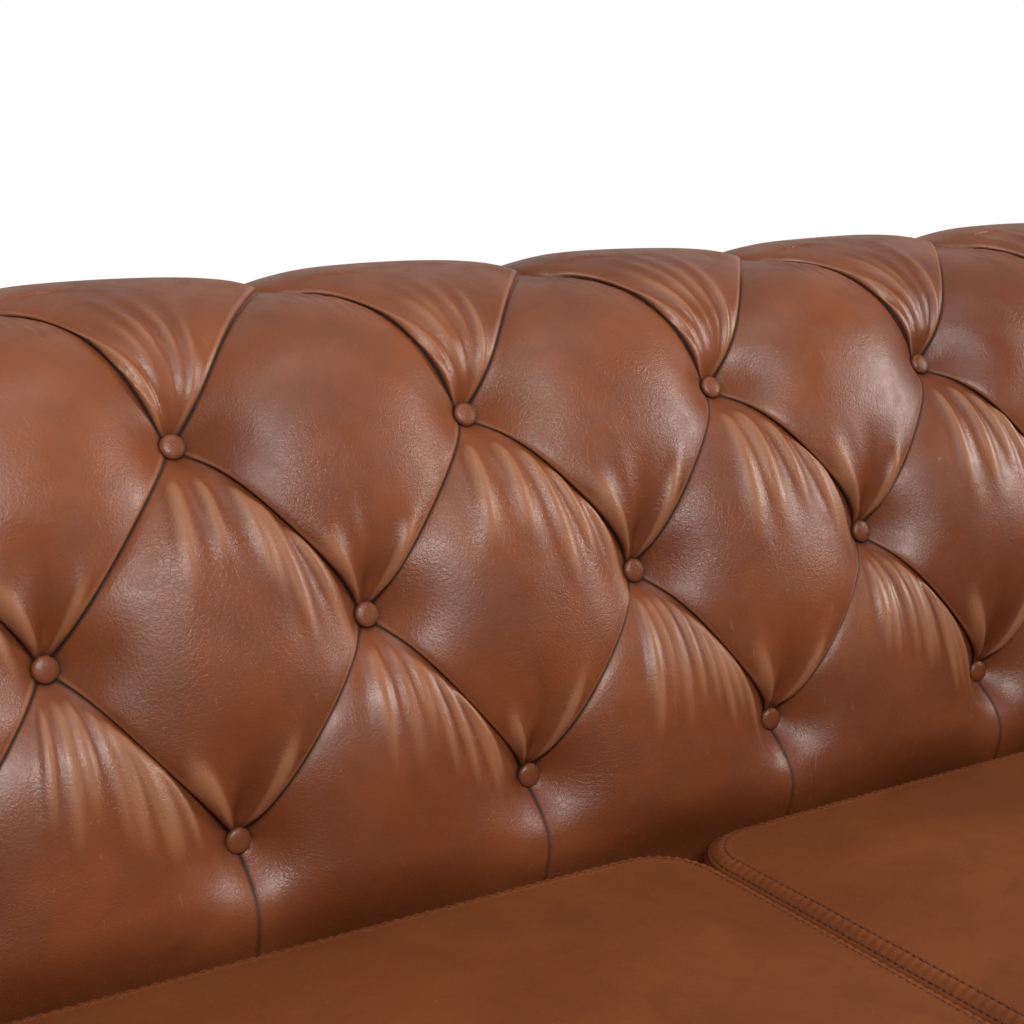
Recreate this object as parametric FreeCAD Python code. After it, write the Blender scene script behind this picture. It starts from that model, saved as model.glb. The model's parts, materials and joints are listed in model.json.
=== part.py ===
import FreeCAD
import Part
import math
import os

# A three-seat chesterfield sofa with two loose seat cushions, in millimetres.
# Z is up, X runs along the sofa and the front faces -Y. The origin is at the
# middle of the footprint, on the floor.
#
# The back and both arms share one cross section, drawn in (n, z): n is the
# distance outwards from the foot line, where the padding meets the seat.
# A "depth" is measured inwards from that section's valley line, where the
# folds of the tufting lie, and pads rise outwards from the same line.

V = FreeCAD.Vector

# Driving dimensions: the whole sofa

SEAT_WIDTH = 1600.0           # between the foot lines of the two arms
ARM_RUN = 605.0               # foot line of the back to the front end of an arm
BASE_HEIGHT = 100.0           # underside of the base frame above the floor
RAIL_HEIGHT = 180.0           # height of the base rails
CLEARANCE = 0.3               # between neighbouring pieces

# Driving dimensions: the shared cross section of the back and arms

FOOT_N = 3.0                  # n of the lower, upright stretch
RAKE_START_Z = 450.0          # where the upright stretch starts to lean back
RAKE_RADIUS = 547.0
RAKE_TURN = 31.7              # degrees of lean reached at the top button row
ROLL_RADIUS = 136.0           # front of the roll
REAR_RADIUS = 84.0            # back of the roll
REAR_TURN = 165.0             # degrees turned past the top of the roll
COVER_DEPTH = 22.0            # leather and wadding over the foam
FOAM_JOINT = 0.1              # degrees between the two foams at the top button row
ROLL_FOAM_SHORT = 2.0         # degrees the roll's foam ends before its cover
FRAME_DEPTH = 60.0            # valley line to the edge of the plywood ribs
PANEL_THICKNESS = 3.0
REAR_EDGE_TURN = 122.0        # degrees past the top where a rib's edge turns straight down

# Driving dimensions: tufting

BUTTON_SPACING = 200.0
ROW_STEP = 12.65              # degrees between button rows on the raked stretch
FOLD_TOP_TURN = 4.0           # degrees past the top where the folds of two pads meet
PAD_RISE = 26.0               # crown of a full diamond above the valley line
ROLL_PAD_RISE = 20.0          # the same on top of the roll
END_PAD_RISE = 11.0           # the same at the front end of an arm
PAD_GAP = 3.0                 # half the width of a valley between pads
PAD_SINK = 8.0                # how far a pad's loft reaches into the cover
PAD_TIP = 4.0                 # half the width of a pad at its tips
PAD_TIP_RISE = 2.0
PAD_QUARTER = 0.22            # share of a pad's height at which its quarters are drawn
QUARTER_WIDTH = 0.42          # half width there, as a share of the pad's
QUARTER_RISE = 0.62           # and rise, as a share of the crown
LOWER_PAD_FOOT = 60.0         # lower pads end this far below the start of the rake
LOWER_PAD_TURN_IN = 10.0      # and start to turn in to the seat here
BUTTON_RADIUS = 8.0
BUTTON_HEIGHT = 8.0
BUTTON_SKIRT = 3.6            # its straight side, below the dome
BUTTON_SEAT_DEPTH = 18.0      # floor of a button's pocket below the valley line
POCKET_RADIUS = 11.5
TIE_RADIUS = 1.0
TIE_KNOT = 4.0                # a tie's end behind the ribs' edges

# Driving dimensions: timber

RIB_THICKNESS = 22.0
RAIL_THICKNESS = 28.0
INNER_RAIL_HEIGHT = 80.0
TOP_RAIL_HEIGHT = 80.0
TOP_RAIL_THICKNESS = 24.0
TOP_RAIL_Z = 560.0
BACK_RIB_STEPS = (-5, -2, 2, 5)   # places of the back ribs, in spring spacings
ARM_RIB_STEPS = (0.75, 2.25)      # places of the inner arm ribs, in button spacings
CORNER_POST = 50.0
BLOCK_SIDE = 100.0
BLOCK_HEIGHT = 40.0
FACING_BOARD = 18.0
FACING_BOTTOM = BASE_HEIGHT + 2.0

# Driving dimensions: seat suspension and deck

SPRING_WIRE = 3.8
SPRING_WIDTH = 50.0
SPRING_PITCH = 22.0
SPRING_COUNT = 12
CLIP_WALL = 1.3
CLIP_LENGTH = 14.0
FELT = 4.0
DECK_FOAM = 12.0
DECK_CLOTH = 1.2
WEBBING = 1.2
WEBBING_WIDTH = 50.0
STRAP_PAST_CORNER = 50.0      # how far a run's straps reach past the corner's foot line

# Driving dimensions: seat cushions

CUSHION_SIDE_GAP = 22.0       # cushion to the foot lines, clear of the lower pads
CUSHION_MIDDLE_GAP = 3.0      # each cushion to the middle of the sofa
CUSHION_FRONT = 22.0          # overhang past the arm run, flush with the facings
BOXING_HEIGHT = 146.0
CUSHION_CROWN = 20.0
EDGE_CROWN = 3.0              # crown at the front and rear edges
CUSHION_CORNER = 46.0         # radius of the corners, seen from above
SIDE_DRAW = 5.0               # how far the side seams are drawn in between the corners
SIDE_SWELL = 0.5              # the sides swell this far past their corners
LEATHER = 2.0
ZIP_LENGTH = 520.0
ZIP_WIDTH = 14.0
ZIP_THICKNESS = 1.6
SLIDER_LENGTH = 12.0
SLIDER_WIDTH = 10.0

# Driving dimensions: front border, facings and nails

LEATHER_SKIN = 2.0
BORDER_PAD = 18.0
BORDER_ROUND = 6.0            # radius of the border's top and bottom edges
FACING_PAD = 5.0
FACING_SPREAD = 10.0          # how far a facing's scroll stands out past the valley line
NAIL_RADIUS = 5.0
NAIL_DOME = 3.0
NAIL_PITCH = 17.0
NAIL_INSET = 11.0
LAST_NAIL_TURN = 140.0        # degrees past the top of the roll

# Driving dimensions: feet

FOOT_TOP_RADIUS = 36.0
FOOT_BELLY_RADIUS = 34.0
FOOT_NECK_RADIUS = 22.0
FOOT_BOTTOM_RADIUS = 19.0
FOOT_SHOULDER_RADIUS = 26.0
FOOT_NECK_SHARE = 0.16        # heights of its profile, as shares of the foot's
FOOT_BELLY_SHARE = 0.55
FOOT_SHOULDER_SHARE = 0.82
FOOT_CAP_FLARE = 4.0
GLIDE_HEIGHT = 4.0
GLIDE_RADIUS = 15.0
BOLT_RADIUS = 4.0
BOLT_IN_FOOT = 35.0
HOLE_CLEARANCE = 0.15
NUT_BARREL_RADIUS = 5.2
NUT_FLANGE_RADIUS = 11.0
NUT_FLANGE = 1.6
NUT_BARREL = 12.0
BOLT_SHORT = 4.0              # a bolt ends this far below the top of its block
BORE_SPARE = 2.0
DUST_COVER = 0.8
DUST_COVER_INSET = 2.0

# Worked out from the driving dimensions

HALF_SEAT = SEAT_WIDTH / 2
SPRING_SPACING = SEAT_WIDTH / SPRING_COUNT
RAIL_TOP = BASE_HEIGHT + RAIL_HEIGHT
CLIP_HEIGHT = SPRING_WIRE + 2 * CLIP_WALL
FELT_Z = RAIL_TOP + CLIP_HEIGHT + CLEARANCE
DECK_TOP = FELT_Z + FELT + DECK_FOAM + DECK_CLOTH
PADDING_Z = DECK_TOP + CLEARANCE
CUSHION_Z = DECK_TOP + CLEARANCE
RAKE_CENTRE = (FOOT_N + RAKE_RADIUS, RAKE_START_Z)
ROLL_CENTRE = (
    RAKE_CENTRE[0] - (RAKE_RADIUS - ROLL_RADIUS) * math.cos(math.radians(RAKE_TURN)),
    RAKE_CENTRE[1] + (RAKE_RADIUS - ROLL_RADIUS) * math.sin(math.radians(RAKE_TURN)),
)
REAR_CENTRE = (ROLL_CENTRE[0], ROLL_CENTRE[1] + ROLL_RADIUS - REAR_RADIUS)
TOP_TURN = 90.0               # the turn at the top of the roll, where it is level
RIB_REAR_RADIUS = REAR_RADIUS - FRAME_DEPTH
RIB_EDGE_TURN = TOP_TURN + REAR_EDGE_TURN
RIB_REAR_N = REAR_CENTRE[0] - RIB_REAR_RADIUS * math.cos(math.radians(RIB_EDGE_TURN))
RIB_SHOULDER_Z = REAR_CENTRE[1] + RIB_REAR_RADIUS * math.sin(math.radians(RIB_EDGE_TURN))
PANEL_N = RIB_REAR_N + CLEARANCE
PANEL_FACE_N = PANEL_N + PANEL_THICKNESS
REAR_PAD_RISE = 10.0          # pads at the rearmost point of the roll
REAR_PAD_PROFILE = [          # degrees past the top, and the pads' rise there
    (50.0, 0.75 * ROLL_PAD_RISE),
    (90.0, REAR_PAD_RISE),
    (130.0, 0.2 * ROLL_PAD_RISE),
]
REAR_REACH = REAR_CENTRE[0] + REAR_RADIUS + REAR_PAD_RISE
FACING_REACH = ARM_RUN + CLEARANCE + FACING_BOARD + FACING_PAD + LEATHER_SKIN + NAIL_DOME
FOOT_Y = (FACING_REACH - REAR_REACH) / 2
ROW_TURNS = [RAKE_TURN - 2 * ROW_STEP, RAKE_TURN - ROW_STEP, RAKE_TURN]
FOLD_TOP = TOP_TURN + FOLD_TOP_TURN


# The shared cross section


def arc_point(centre, radius, turn):
    """The (n, z) point of an arc: turn 0 faces the seat, 90 is straight up."""
    t = math.radians(turn)
    return centre[0] - radius * math.cos(t), centre[1] + radius * math.sin(t)


def section_point(turn, depth):
    """The (n, z) point of the section at a turn, that depth inside the valley line."""
    if turn <= RAKE_TURN:
        return arc_point(RAKE_CENTRE, RAKE_RADIUS - depth, turn)
    if turn <= TOP_TURN:
        return arc_point(ROLL_CENTRE, ROLL_RADIUS - depth, turn)
    return arc_point(REAR_CENTRE, REAR_RADIUS - depth, turn)


def at(u, point):
    """The local 3-D point of a run, at u along it."""
    return V(u, point[0], point[1])


def section_edges(depth, start, end, low_z=None):
    """The section's edges at one depth between two turns, from low_z up if given."""
    edges = []
    if low_z is not None:
        edges.append(Part.makeLine(
            at(0, (FOOT_N + depth, low_z)), at(0, section_point(0.0, depth))))
    stops = [start] + [t for t in (RAKE_TURN, TOP_TURN) if start < t < end] + [end]
    for a, b in zip(stops, stops[1:]):
        inside = (a + b) / 2
        first = at(0, section_point(a + 1e-9, depth))
        last = at(0, section_point(b, depth))
        edges.append(Part.Arc(first, at(0, section_point(inside, depth)), last).toShape())
    return edges


def band(depth, inner_depth, start, end, low_z=None):
    """The face between two depths of the section, as a closed outline at u = 0."""
    outer = section_edges(depth, start, end, low_z)
    inner = section_edges(inner_depth, start, end, low_z)
    a, b = outer[0].Vertexes[0].Point, inner[0].Vertexes[0].Point
    c, d = outer[-1].Vertexes[-1].Point, inner[-1].Vertexes[-1].Point
    closing = [Part.makeLine(a, b), Part.makeLine(c, d)]
    return Part.Face(Part.Wire(Part.__sortEdges__(outer + inner + closing)))


def box(x0, x1, y0, y1, z0, z1):
    return Part.makeBox(x1 - x0, y1 - y0, z1 - z0, V(x0, y0, z0))


def run_of(face, start, end):
    """A section face extruded along the run from u = start to u = end."""
    solid = face.extrude(V(end - start, 0, 0))
    solid.translate(V(start, 0, 0))
    return solid


def rear_space():
    """The room behind the foam that the ribs and the outside panel stand in."""
    reach = HALF_SEAT + 2 * REAR_REACH
    rear_n = ROLL_CENTRE[0] - FRAME_DEPTH
    return box(-reach, reach, rear_n, PANEL_FACE_N + CLEARANCE, 0, RIB_SHOULDER_Z - CLEARANCE)


# Mitred ends, where the back meets the arms


def mitre_wedge(side, corner_u):
    """The half space beyond a 45 degree plane through the corner's foot line."""
    far = 4 * REAR_REACH
    inner = corner_u - side * CLEARANCE / 2
    points = [
        V(inner - side * far, -far, 0),
        V(inner + side * far, far, 0),
        V(inner + side * 3 * far, -far, 0),
    ]
    face = Part.Face(Part.makePolygon(points + points[:1]))
    return face.extrude(V(0, 0, 2 * far))


def cut_back(shape):
    for side in (-1, 1):
        shape = shape.cut(mitre_wedge(side, side * HALF_SEAT))
    return shape


def cut_arm(shape):
    return shape.cut(mitre_wedge(-1, 0.0))


# Tufted covers


def pad_section(middle, half_width, turn, rise, low_z=None):
    """One closed section across a pad: an arc over the fold lines, sunk in the cover."""
    def place(u, height):
        if low_z is not None:
            return V(u, FOOT_N - height, low_z)
        return at(u, section_point(turn, -height))
    left, top, right = (
        place(middle - half_width, 0.0), place(middle, rise), place(middle + half_width, 0.0))
    low_right = place(middle + half_width, -PAD_SINK)
    low_left = place(middle - half_width, -PAD_SINK)
    return Part.Wire([
        Part.Arc(left, top, right).toShape(),
        Part.makeLine(right, low_right),
        Part.makeLine(low_right, low_left),
        Part.makeLine(low_left, left),
    ])


def diamond_pad(middle, bottom, top, crown):
    """A diamond between a button at turn bottom and a button or fold end at turn top."""
    half = BUTTON_SPACING / 2 - PAD_GAP
    quarter = (QUARTER_WIDTH * half, QUARTER_RISE * crown)
    profile = [
        (0.0, PAD_TIP, PAD_TIP_RISE),
        (PAD_QUARTER, *quarter),
        (0.5, half, crown),
        (1.0 - PAD_QUARTER, *quarter),
        (1.0, PAD_TIP, PAD_TIP_RISE),
    ]
    wires = [pad_section(middle, width, bottom + (top - bottom) * share, rise)
             for share, width, rise in profile]
    return Part.makeLoft(wires, True, True)


def lower_pad(middle, crown):
    """The pad below the bottom button row, with its upper tip at the middle row."""
    half = BUTTON_SPACING / 2 - PAD_GAP
    bottom_row, middle_row = ROW_TURNS[0], ROW_TURNS[1]
    wires = [
        pad_section(middle, half, 0, PAD_TIP_RISE / 2, RAKE_START_Z - LOWER_PAD_FOOT),
        pad_section(middle, half, 0, 0.3 * crown, RAKE_START_Z - LOWER_PAD_TURN_IN),
        pad_section(middle, half, bottom_row * 0.4, 0.65 * crown),
        pad_section(middle, half, bottom_row, 0.85 * crown),
        pad_section(middle, QUARTER_WIDTH * half, bottom_row + 0.56 * ROW_STEP, 0.6 * crown),
        pad_section(middle, PAD_TIP, middle_row, PAD_TIP_RISE),
    ]
    return Part.makeLoft(wires, True, True)


def roll_pad(middle):
    """The pad over the roll, from its lower tip at the top button row to the underside."""
    half = BUTTON_SPACING / 2 - PAD_GAP
    spread = FOLD_TOP - RAKE_TURN
    wires = [pad_section(middle, PAD_TIP, RAKE_TURN, PAD_TIP_RISE)]
    for share, rise in (0.3, 0.5 * PAD_RISE), (0.68, ROLL_PAD_RISE), (1.0, ROLL_PAD_RISE):
        wires.append(pad_section(middle, share * half, RAKE_TURN + share * spread, rise))
    for past_top, rise in REAR_PAD_PROFILE:
        wires.append(pad_section(middle, half, TOP_TURN + past_top, rise))
    return Part.makeLoft(wires, True, True)


def columns(start, end, offset):
    """Places BUTTON_SPACING apart from start to end, one of them at offset."""
    first = math.ceil((start - offset) / BUTTON_SPACING - 1e-6)
    last = math.floor((end - offset) / BUTTON_SPACING + 1e-6)
    return [offset + k * BUTTON_SPACING for k in range(first, last + 1)]


def button_places(start, end):
    """The (u, turn) places of the buttons of one run, in three staggered rows."""
    odd, even = columns(start, end, BUTTON_SPACING / 2), columns(start, end, 0.0)
    return ([(u, ROW_TURNS[0]) for u in odd]
            + [(u, ROW_TURNS[1]) for u in even]
            + [(u, ROW_TURNS[2]) for u in odd])


def outwards(turn):
    t = math.radians(turn)
    return V(0, -math.cos(t), math.sin(t))


def peg(place, radius, depth_from, depth_to):
    """A cylinder square to the section at a button's place, between two depths."""
    u, turn = place
    foot = at(u, section_point(turn, depth_from))
    return Part.makeCylinder(radius, depth_from - depth_to, foot, outwards(turn))


def tufted_cover(start, end, places):
    """Leather and wadding of one run, before its ends are cut: pads on a smooth band."""
    whole = band(0.0, COVER_DEPTH, 0.0, TOP_TURN + REAR_TURN, PADDING_Z)
    smooth = run_of(whole, start, end).cut(rear_space())
    odd = columns(start - BUTTON_SPACING, end + BUTTON_SPACING, BUTTON_SPACING / 2)
    even = columns(start - BUTTON_SPACING, end + BUTTON_SPACING, 0.0)
    bottom_row, middle_row, top_row = ROW_TURNS
    crowns = {u: END_PAD_RISE if abs(u) > end - BUTTON_SPACING / 4 else PAD_RISE for u in even}
    pads = [lower_pad(u, crowns[u]) for u in even]
    pads += [diamond_pad(u, bottom_row, top_row, PAD_RISE) for u in odd]
    pads += [diamond_pad(u, middle_row, FOLD_TOP, crowns[u]) for u in even]
    pads += [roll_pad(u) for u in odd]
    pads = [p for p in pads if p.BoundBox.XMax > start and p.BoundBox.XMin < end]
    cover = smooth.multiFuse(pads)
    pockets = [peg(p, POCKET_RADIUS, BUTTON_SEAT_DEPTH, -PAD_RISE) for p in places]
    cover = cover.cut(Part.makeCompound(pockets)).cut(tie_holes(places))
    return cover.common(box(start, end, -REAR_REACH, 2 * REAR_REACH, 0, 2 * REAR_CENTRE[1]))


def button(place):
    """A leather-covered button: a low dome on a short skirt, seated in its pocket."""
    dome = BUTTON_HEIGHT - BUTTON_SKIRT
    sphere = (BUTTON_RADIUS ** 2 + dome ** 2) / (2 * dome)
    ball = Part.makeSphere(sphere, V(0, 0, BUTTON_HEIGHT - sphere))
    solid = Part.makeCylinder(BUTTON_RADIUS, BUTTON_HEIGHT).common(ball)
    u, turn = place
    solid.rotate(V(0, 0, 0), V(1, 0, 0), 90 - turn)
    solid.translate(at(u, section_point(turn, BUTTON_SEAT_DEPTH - CLEARANCE)))
    return solid


def tie(place):
    """The twine that pulls a button in, from its back to the webbing's level."""
    return peg(place, TIE_RADIUS, FRAME_DEPTH + TIE_KNOT, BUTTON_SEAT_DEPTH)


def tie_holes(places):
    radius = TIE_RADIUS + HOLE_CLEARANCE
    return Part.makeCompound([peg(p, radius, FRAME_DEPTH + 2 * TIE_KNOT, 0) for p in places])


# Padding, webbing and ribs of one run


def foam_slab(start, end, places):
    """The foam behind the tufted cover, from the deck to the top button row."""
    face = band(COVER_DEPTH + CLEARANCE, FRAME_DEPTH - WEBBING - 2 * CLEARANCE, 0.0,
                RAKE_TURN, PADDING_Z)
    return run_of(face, start, end).cut(tie_holes(places))


def roll_foam(start, end, places):
    """The foam wrapped over the roll, down to the outside panel."""
    face = band(COVER_DEPTH + CLEARANCE, FRAME_DEPTH - CLEARANCE, RAKE_TURN + FOAM_JOINT,
                TOP_TURN + REAR_TURN - ROLL_FOAM_SHORT)
    return run_of(face, start, end).cut(rear_space()).cut(tie_holes(places))


def webbing(start, end, places):
    """Straps stretched along the run over the ribs' front edges."""
    half_turn = math.degrees(WEBBING_WIDTH / (RAKE_RADIUS - FRAME_DEPTH)) / 2
    depth = FRAME_DEPTH - WEBBING - CLEARANCE
    straps = []
    for turn in ROW_TURNS[0], ROW_TURNS[1], RAKE_TURN - 1.5 * half_turn:
        face = band(depth, depth + WEBBING, turn - half_turn, turn + half_turn)
        straps.append(run_of(face, start, end))
    return Part.makeCompound(straps).cut(tie_holes(places))


def rib(middle):
    """A plywood rib: the section at frame depth, with a straight rear edge."""
    u = middle - RIB_THICKNESS / 2
    front = section_edges(FRAME_DEPTH, 0.0, RIB_EDGE_TURN, RAIL_TOP)
    start, end = front[0].Vertexes[0].Point, front[-1].Vertexes[-1].Point
    corner = V(0, end.y, RAIL_TOP)
    outline = Part.Wire(Part.__sortEdges__(
        front + [Part.makeLine(end, corner), Part.makeLine(corner, start)]))
    solid = Part.Face(outline).extrude(V(RIB_THICKNESS, 0, 0))
    solid.translate(V(u, 0, 0))
    notch = top_rail(u - CLEARANCE, u + RIB_THICKNESS + CLEARANCE, CLEARANCE)
    return solid.cut(notch)


def top_rail(start, end, grow=0.0):
    """The rail let into the rear edges of the ribs, or the notch for it."""
    front_n = RIB_REAR_N - TOP_RAIL_THICKNESS
    return box(start, end, front_n - grow, RIB_REAR_N + grow,
               TOP_RAIL_Z - grow, TOP_RAIL_Z + TOP_RAIL_HEIGHT + grow)


# Placing runs


def as_back(shape):
    shape.translate(V(0, FOOT_Y, 0))
    return shape


def as_right_arm(shape):
    shape.rotate(V(0, 0, 0), V(0, 0, 1), -90)
    shape.translate(V(HALF_SEAT, FOOT_Y, 0))
    return shape


def mirrored(shape):
    return shape.mirror(V(0, 0, 0), V(1, 0, 0))


# Arm facings and nails


def facing_solid(inset, start, thickness):
    """A flat piece of the arm front's scroll outline, inset by so much, from u = start."""
    rear_n = PANEL_FACE_N - inset
    radius = REAR_RADIUS + FACING_SPREAD - inset
    meet = 360 - math.degrees(math.acos((REAR_CENTRE[0] - rear_n) / radius))
    front = section_edges(inset - FACING_SPREAD, 0.0, meet, FACING_BOTTOM + inset)
    first, last = front[0].Vertexes[0].Point, front[-1].Vertexes[-1].Point
    low = V(0, rear_n, FACING_BOTTOM + inset)
    outline = front + [Part.makeLine(last, low), Part.makeLine(low, first)]
    solid = Part.Face(Part.Wire(Part.__sortEdges__(outline))).extrude(V(thickness, 0, 0))
    solid.translate(V(start, 0, 0))
    return solid


def facing_board():
    return facing_solid(LEATHER_SKIN + CLEARANCE, ARM_RUN + CLEARANCE, FACING_BOARD)


def facing_cover():
    """Leather and padding over the board: a cap with a skirt round the board's edge."""
    reach = FACING_BOARD + FACING_PAD + LEATHER_SKIN
    cap = facing_solid(0.0, ARM_RUN + CLEARANCE, reach)
    hollow = facing_solid(LEATHER_SKIN, ARM_RUN, CLEARANCE + FACING_BOARD + CLEARANCE)
    return cap.cut(hollow)


def facing_nails():
    """Domed nails along the scroll of the arm front, evenly pitched."""
    edges = section_edges(NAIL_INSET - FACING_SPREAD, 0.0, TOP_TURN + LAST_NAIL_TURN,
                          FACING_BOTTOM + NAIL_INSET)
    path = Part.Wire(edges)
    count = int(path.Length / NAIL_PITCH)
    face_u = ARM_RUN + CLEARANCE + FACING_BOARD + FACING_PAD + LEATHER_SKIN
    sphere = (NAIL_RADIUS ** 2 + NAIL_DOME ** 2) / (2 * NAIL_DOME)
    cap = Part.makeSphere(sphere, V(face_u + NAIL_DOME - sphere, 0, 0))
    cap = cap.common(box(face_u, face_u + NAIL_DOME + 1, -sphere, sphere, -sphere, sphere))
    nails = []
    for point in path.discretize(Number=count + 1):
        nail = cap.copy()
        nail.translate(V(0, point.y, point.z))
        nails.append(nail)
    return Part.makeCompound(nails)


# Base frame

FRAME_X = HALF_SEAT + RIB_REAR_N
FRAME_BACK_Y = FOOT_Y + RIB_REAR_N
FRAME_FRONT_Y = FOOT_Y - ARM_RUN
RAIL_BACK_Y = FRAME_FRONT_Y + RAIL_THICKNESS
INNER_N = FOOT_N + FRAME_DEPTH


def front_rail():
    return box(-FRAME_X, FRAME_X, FRAME_FRONT_Y, RAIL_BACK_Y, BASE_HEIGHT, RAIL_TOP)


def rear_rail():
    return box(-FRAME_X, FRAME_X, FRAME_BACK_Y - RAIL_THICKNESS, FRAME_BACK_Y,
               BASE_HEIGHT, RAIL_TOP)


def side_rail():
    return box(FRAME_X - RAIL_THICKNESS, FRAME_X, RAIL_BACK_Y,
               FRAME_BACK_Y - RAIL_THICKNESS, BASE_HEIGHT, RAIL_TOP)


def arm_inner_rail():
    """Runs front to back under the foot of an arm and carries the arm's ribs."""
    x = HALF_SEAT + INNER_N
    return box(x, x + RAIL_THICKNESS, RAIL_BACK_Y, FRAME_BACK_Y - RAIL_THICKNESS,
               RAIL_TOP - INNER_RAIL_HEIGHT, RAIL_TOP)


def back_inner_rail():
    """Runs between the arms' inner rails and carries the springs and back ribs."""
    x = HALF_SEAT + INNER_N
    y = FOOT_Y + INNER_N
    return box(-x, x, y, y + RAIL_THICKNESS, RAIL_TOP - INNER_RAIL_HEIGHT, RAIL_TOP)


def centre_rail():
    """Runs front to back below the springs, and carries the middle feet."""
    half = RAIL_THICKNESS / 2
    return box(-half, half, RAIL_BACK_Y, FRAME_BACK_Y - RAIL_THICKNESS,
               BASE_HEIGHT + BLOCK_HEIGHT, RAIL_TOP - INNER_RAIL_HEIGHT)


def corner_post():
    """An upright in the corner between the back's and the arm's outside panels."""
    x, y = HALF_SEAT + RIB_REAR_N, FOOT_Y + RIB_REAR_N
    return box(x - CORNER_POST, x, y - CORNER_POST, y, RAIL_TOP, TOP_RAIL_Z - CLEARANCE)


def foot_places():
    """The six feet: one in each corner, and two under the middle of the sofa."""
    x = FRAME_X - RAIL_THICKNESS - BLOCK_SIDE / 2
    front = RAIL_BACK_Y + BLOCK_SIDE / 2
    rear = FRAME_BACK_Y - RAIL_THICKNESS - BLOCK_SIDE / 2
    return [(-x, front), (x, front), (-x, rear), (x, rear), (0.0, front), (0.0, rear)]


def foot_blocks():
    """Hardwood blocks in the base frame, bored for the tee nuts."""
    blocks = []
    half = BLOCK_SIDE / 2
    for x, y in foot_places():
        block = box(x - half, x + half, y - half, y + half,
                    BASE_HEIGHT, BASE_HEIGHT + BLOCK_HEIGHT - NUT_FLANGE)
        bore = Part.makeCylinder(NUT_BARREL_RADIUS + HOLE_CLEARANCE, BLOCK_HEIGHT,
                                 V(x, y, BASE_HEIGHT))
        blocks.append(block.cut(bore))
    return Part.makeCompound(blocks)


# Seat suspension and deck


def spring_path(x, y0, y1):
    """A zigzag of straight bars joined by half-round bends, as two arcs each."""
    z = RAIL_TOP + CLIP_HEIGHT / 2
    turn = SPRING_PITCH / 2
    bar = SPRING_WIDTH / 2 - turn
    bends = int((y1 - y0) / SPRING_PITCH)
    start = y0 + ((y1 - y0) - bends * SPRING_PITCH) / 2
    edges = []
    side = 1
    for k in range(bends + 1):
        y = start + k * SPRING_PITCH
        edges.append(Part.makeLine(V(x - side * bar, y, z), V(x + side * bar, y, z)))
        if k < bends:
            edge_x = x + side * bar
            crown = V(edge_x + side * turn, y + turn, z)
            diagonal = turn * math.sqrt(0.5)
            edges.append(Part.Arc(V(edge_x, y, z),
                                  V(edge_x + side * diagonal, y + turn - diagonal, z),
                                  crown).toShape())
            edges.append(Part.Arc(crown,
                                  V(edge_x + side * diagonal, y + turn + diagonal, z),
                                  V(edge_x, y + SPRING_PITCH, z)).toShape())
        side = -side
    return Part.Wire(edges), start, start + bends * SPRING_PITCH


def spring_columns():
    return [-HALF_SEAT + SPRING_SPACING * (k + 0.5) for k in range(SPRING_COUNT)]


def spring_span():
    """The y of a spring's first and last bars, over the front and inner rails."""
    return RAIL_BACK_Y - CLIP_LENGTH / 2, FOOT_Y + INNER_N + CLIP_LENGTH / 2


def seat_springs():
    path, first, last = spring_path(0.0, *spring_span())
    bar = SPRING_WIDTH / 2 - SPRING_PITCH / 2
    start = V(-bar, first, RAIL_TOP + CLIP_HEIGHT / 2)
    circle = Part.Wire(Part.makeCircle(SPRING_WIRE / 2, start, V(1, 0, 0)))
    spring = path.makePipeShell([circle], True, False)
    springs = []
    for x in spring_columns():
        copy = spring.copy()
        copy.translate(V(x, 0, 0))
        springs.append(copy)
    return Part.makeCompound(springs)


def spring_clips():
    """Clips that hold the springs' end bars down on the rails."""
    _, first, last = spring_path(0.0, *spring_span())
    z = RAIL_TOP + CLIP_HEIGHT / 2
    half = CLIP_LENGTH / 2
    clips = []
    for x in spring_columns():
        for y in first, last:
            block = box(x - half, x + half, y - half, y + half, RAIL_TOP, RAIL_TOP + CLIP_HEIGHT)
            bore = Part.makeCylinder(SPRING_WIRE / 2 + HOLE_CLEARANCE, CLIP_LENGTH + BORE_SPARE,
                                     V(x - half - BORE_SPARE / 2, y, z), V(1, 0, 0))
            clips.append(block.cut(bore))
    return Part.makeCompound(clips)


def deck_sheet(z, thickness):
    reach = HALF_SEAT + INNER_N - CLEARANCE
    return box(-reach, reach, FRAME_FRONT_Y + CLEARANCE, FOOT_Y + INNER_N - CLEARANCE,
               z, z + thickness)


# Front border

BORDER_REACH = HALF_SEAT + FOOT_N - FACING_SPREAD - CLEARANCE


def front_border_pad():
    """Foam over the front rail, between the two arm facings."""
    x = BORDER_REACH - LEATHER_SKIN - CLEARANCE
    y = FRAME_FRONT_Y - CLEARANCE
    return box(-x, x, y - BORDER_PAD, y, FACING_BOTTOM + LEATHER_SKIN, DECK_TOP - LEATHER_SKIN)


def front_border_cover():
    """Leather over that foam, rounded along its top and bottom edges."""
    x = BORDER_REACH
    y = FRAME_FRONT_Y - CLEARANCE
    front_y = y - BORDER_PAD - LEATHER_SKIN - CLEARANCE
    outer = box(-x, x, front_y, y, FACING_BOTTOM, DECK_TOP)
    front = [e for e in outer.Edges
             if abs(e.CenterOfMass.y - front_y) < 1e-6 and abs(e.CenterOfMass.x) < 1e-6]
    outer = outer.makeFillet(BORDER_ROUND, front)
    skin = LEATHER_SKIN - CLEARANCE
    hollow = box(-x + LEATHER_SKIN, x - LEATHER_SKIN, front_y + LEATHER_SKIN, y + LEATHER_SKIN,
                 FACING_BOTTOM + skin, DECK_TOP - skin)
    return outer.cut(hollow)


# Seat cushions

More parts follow.
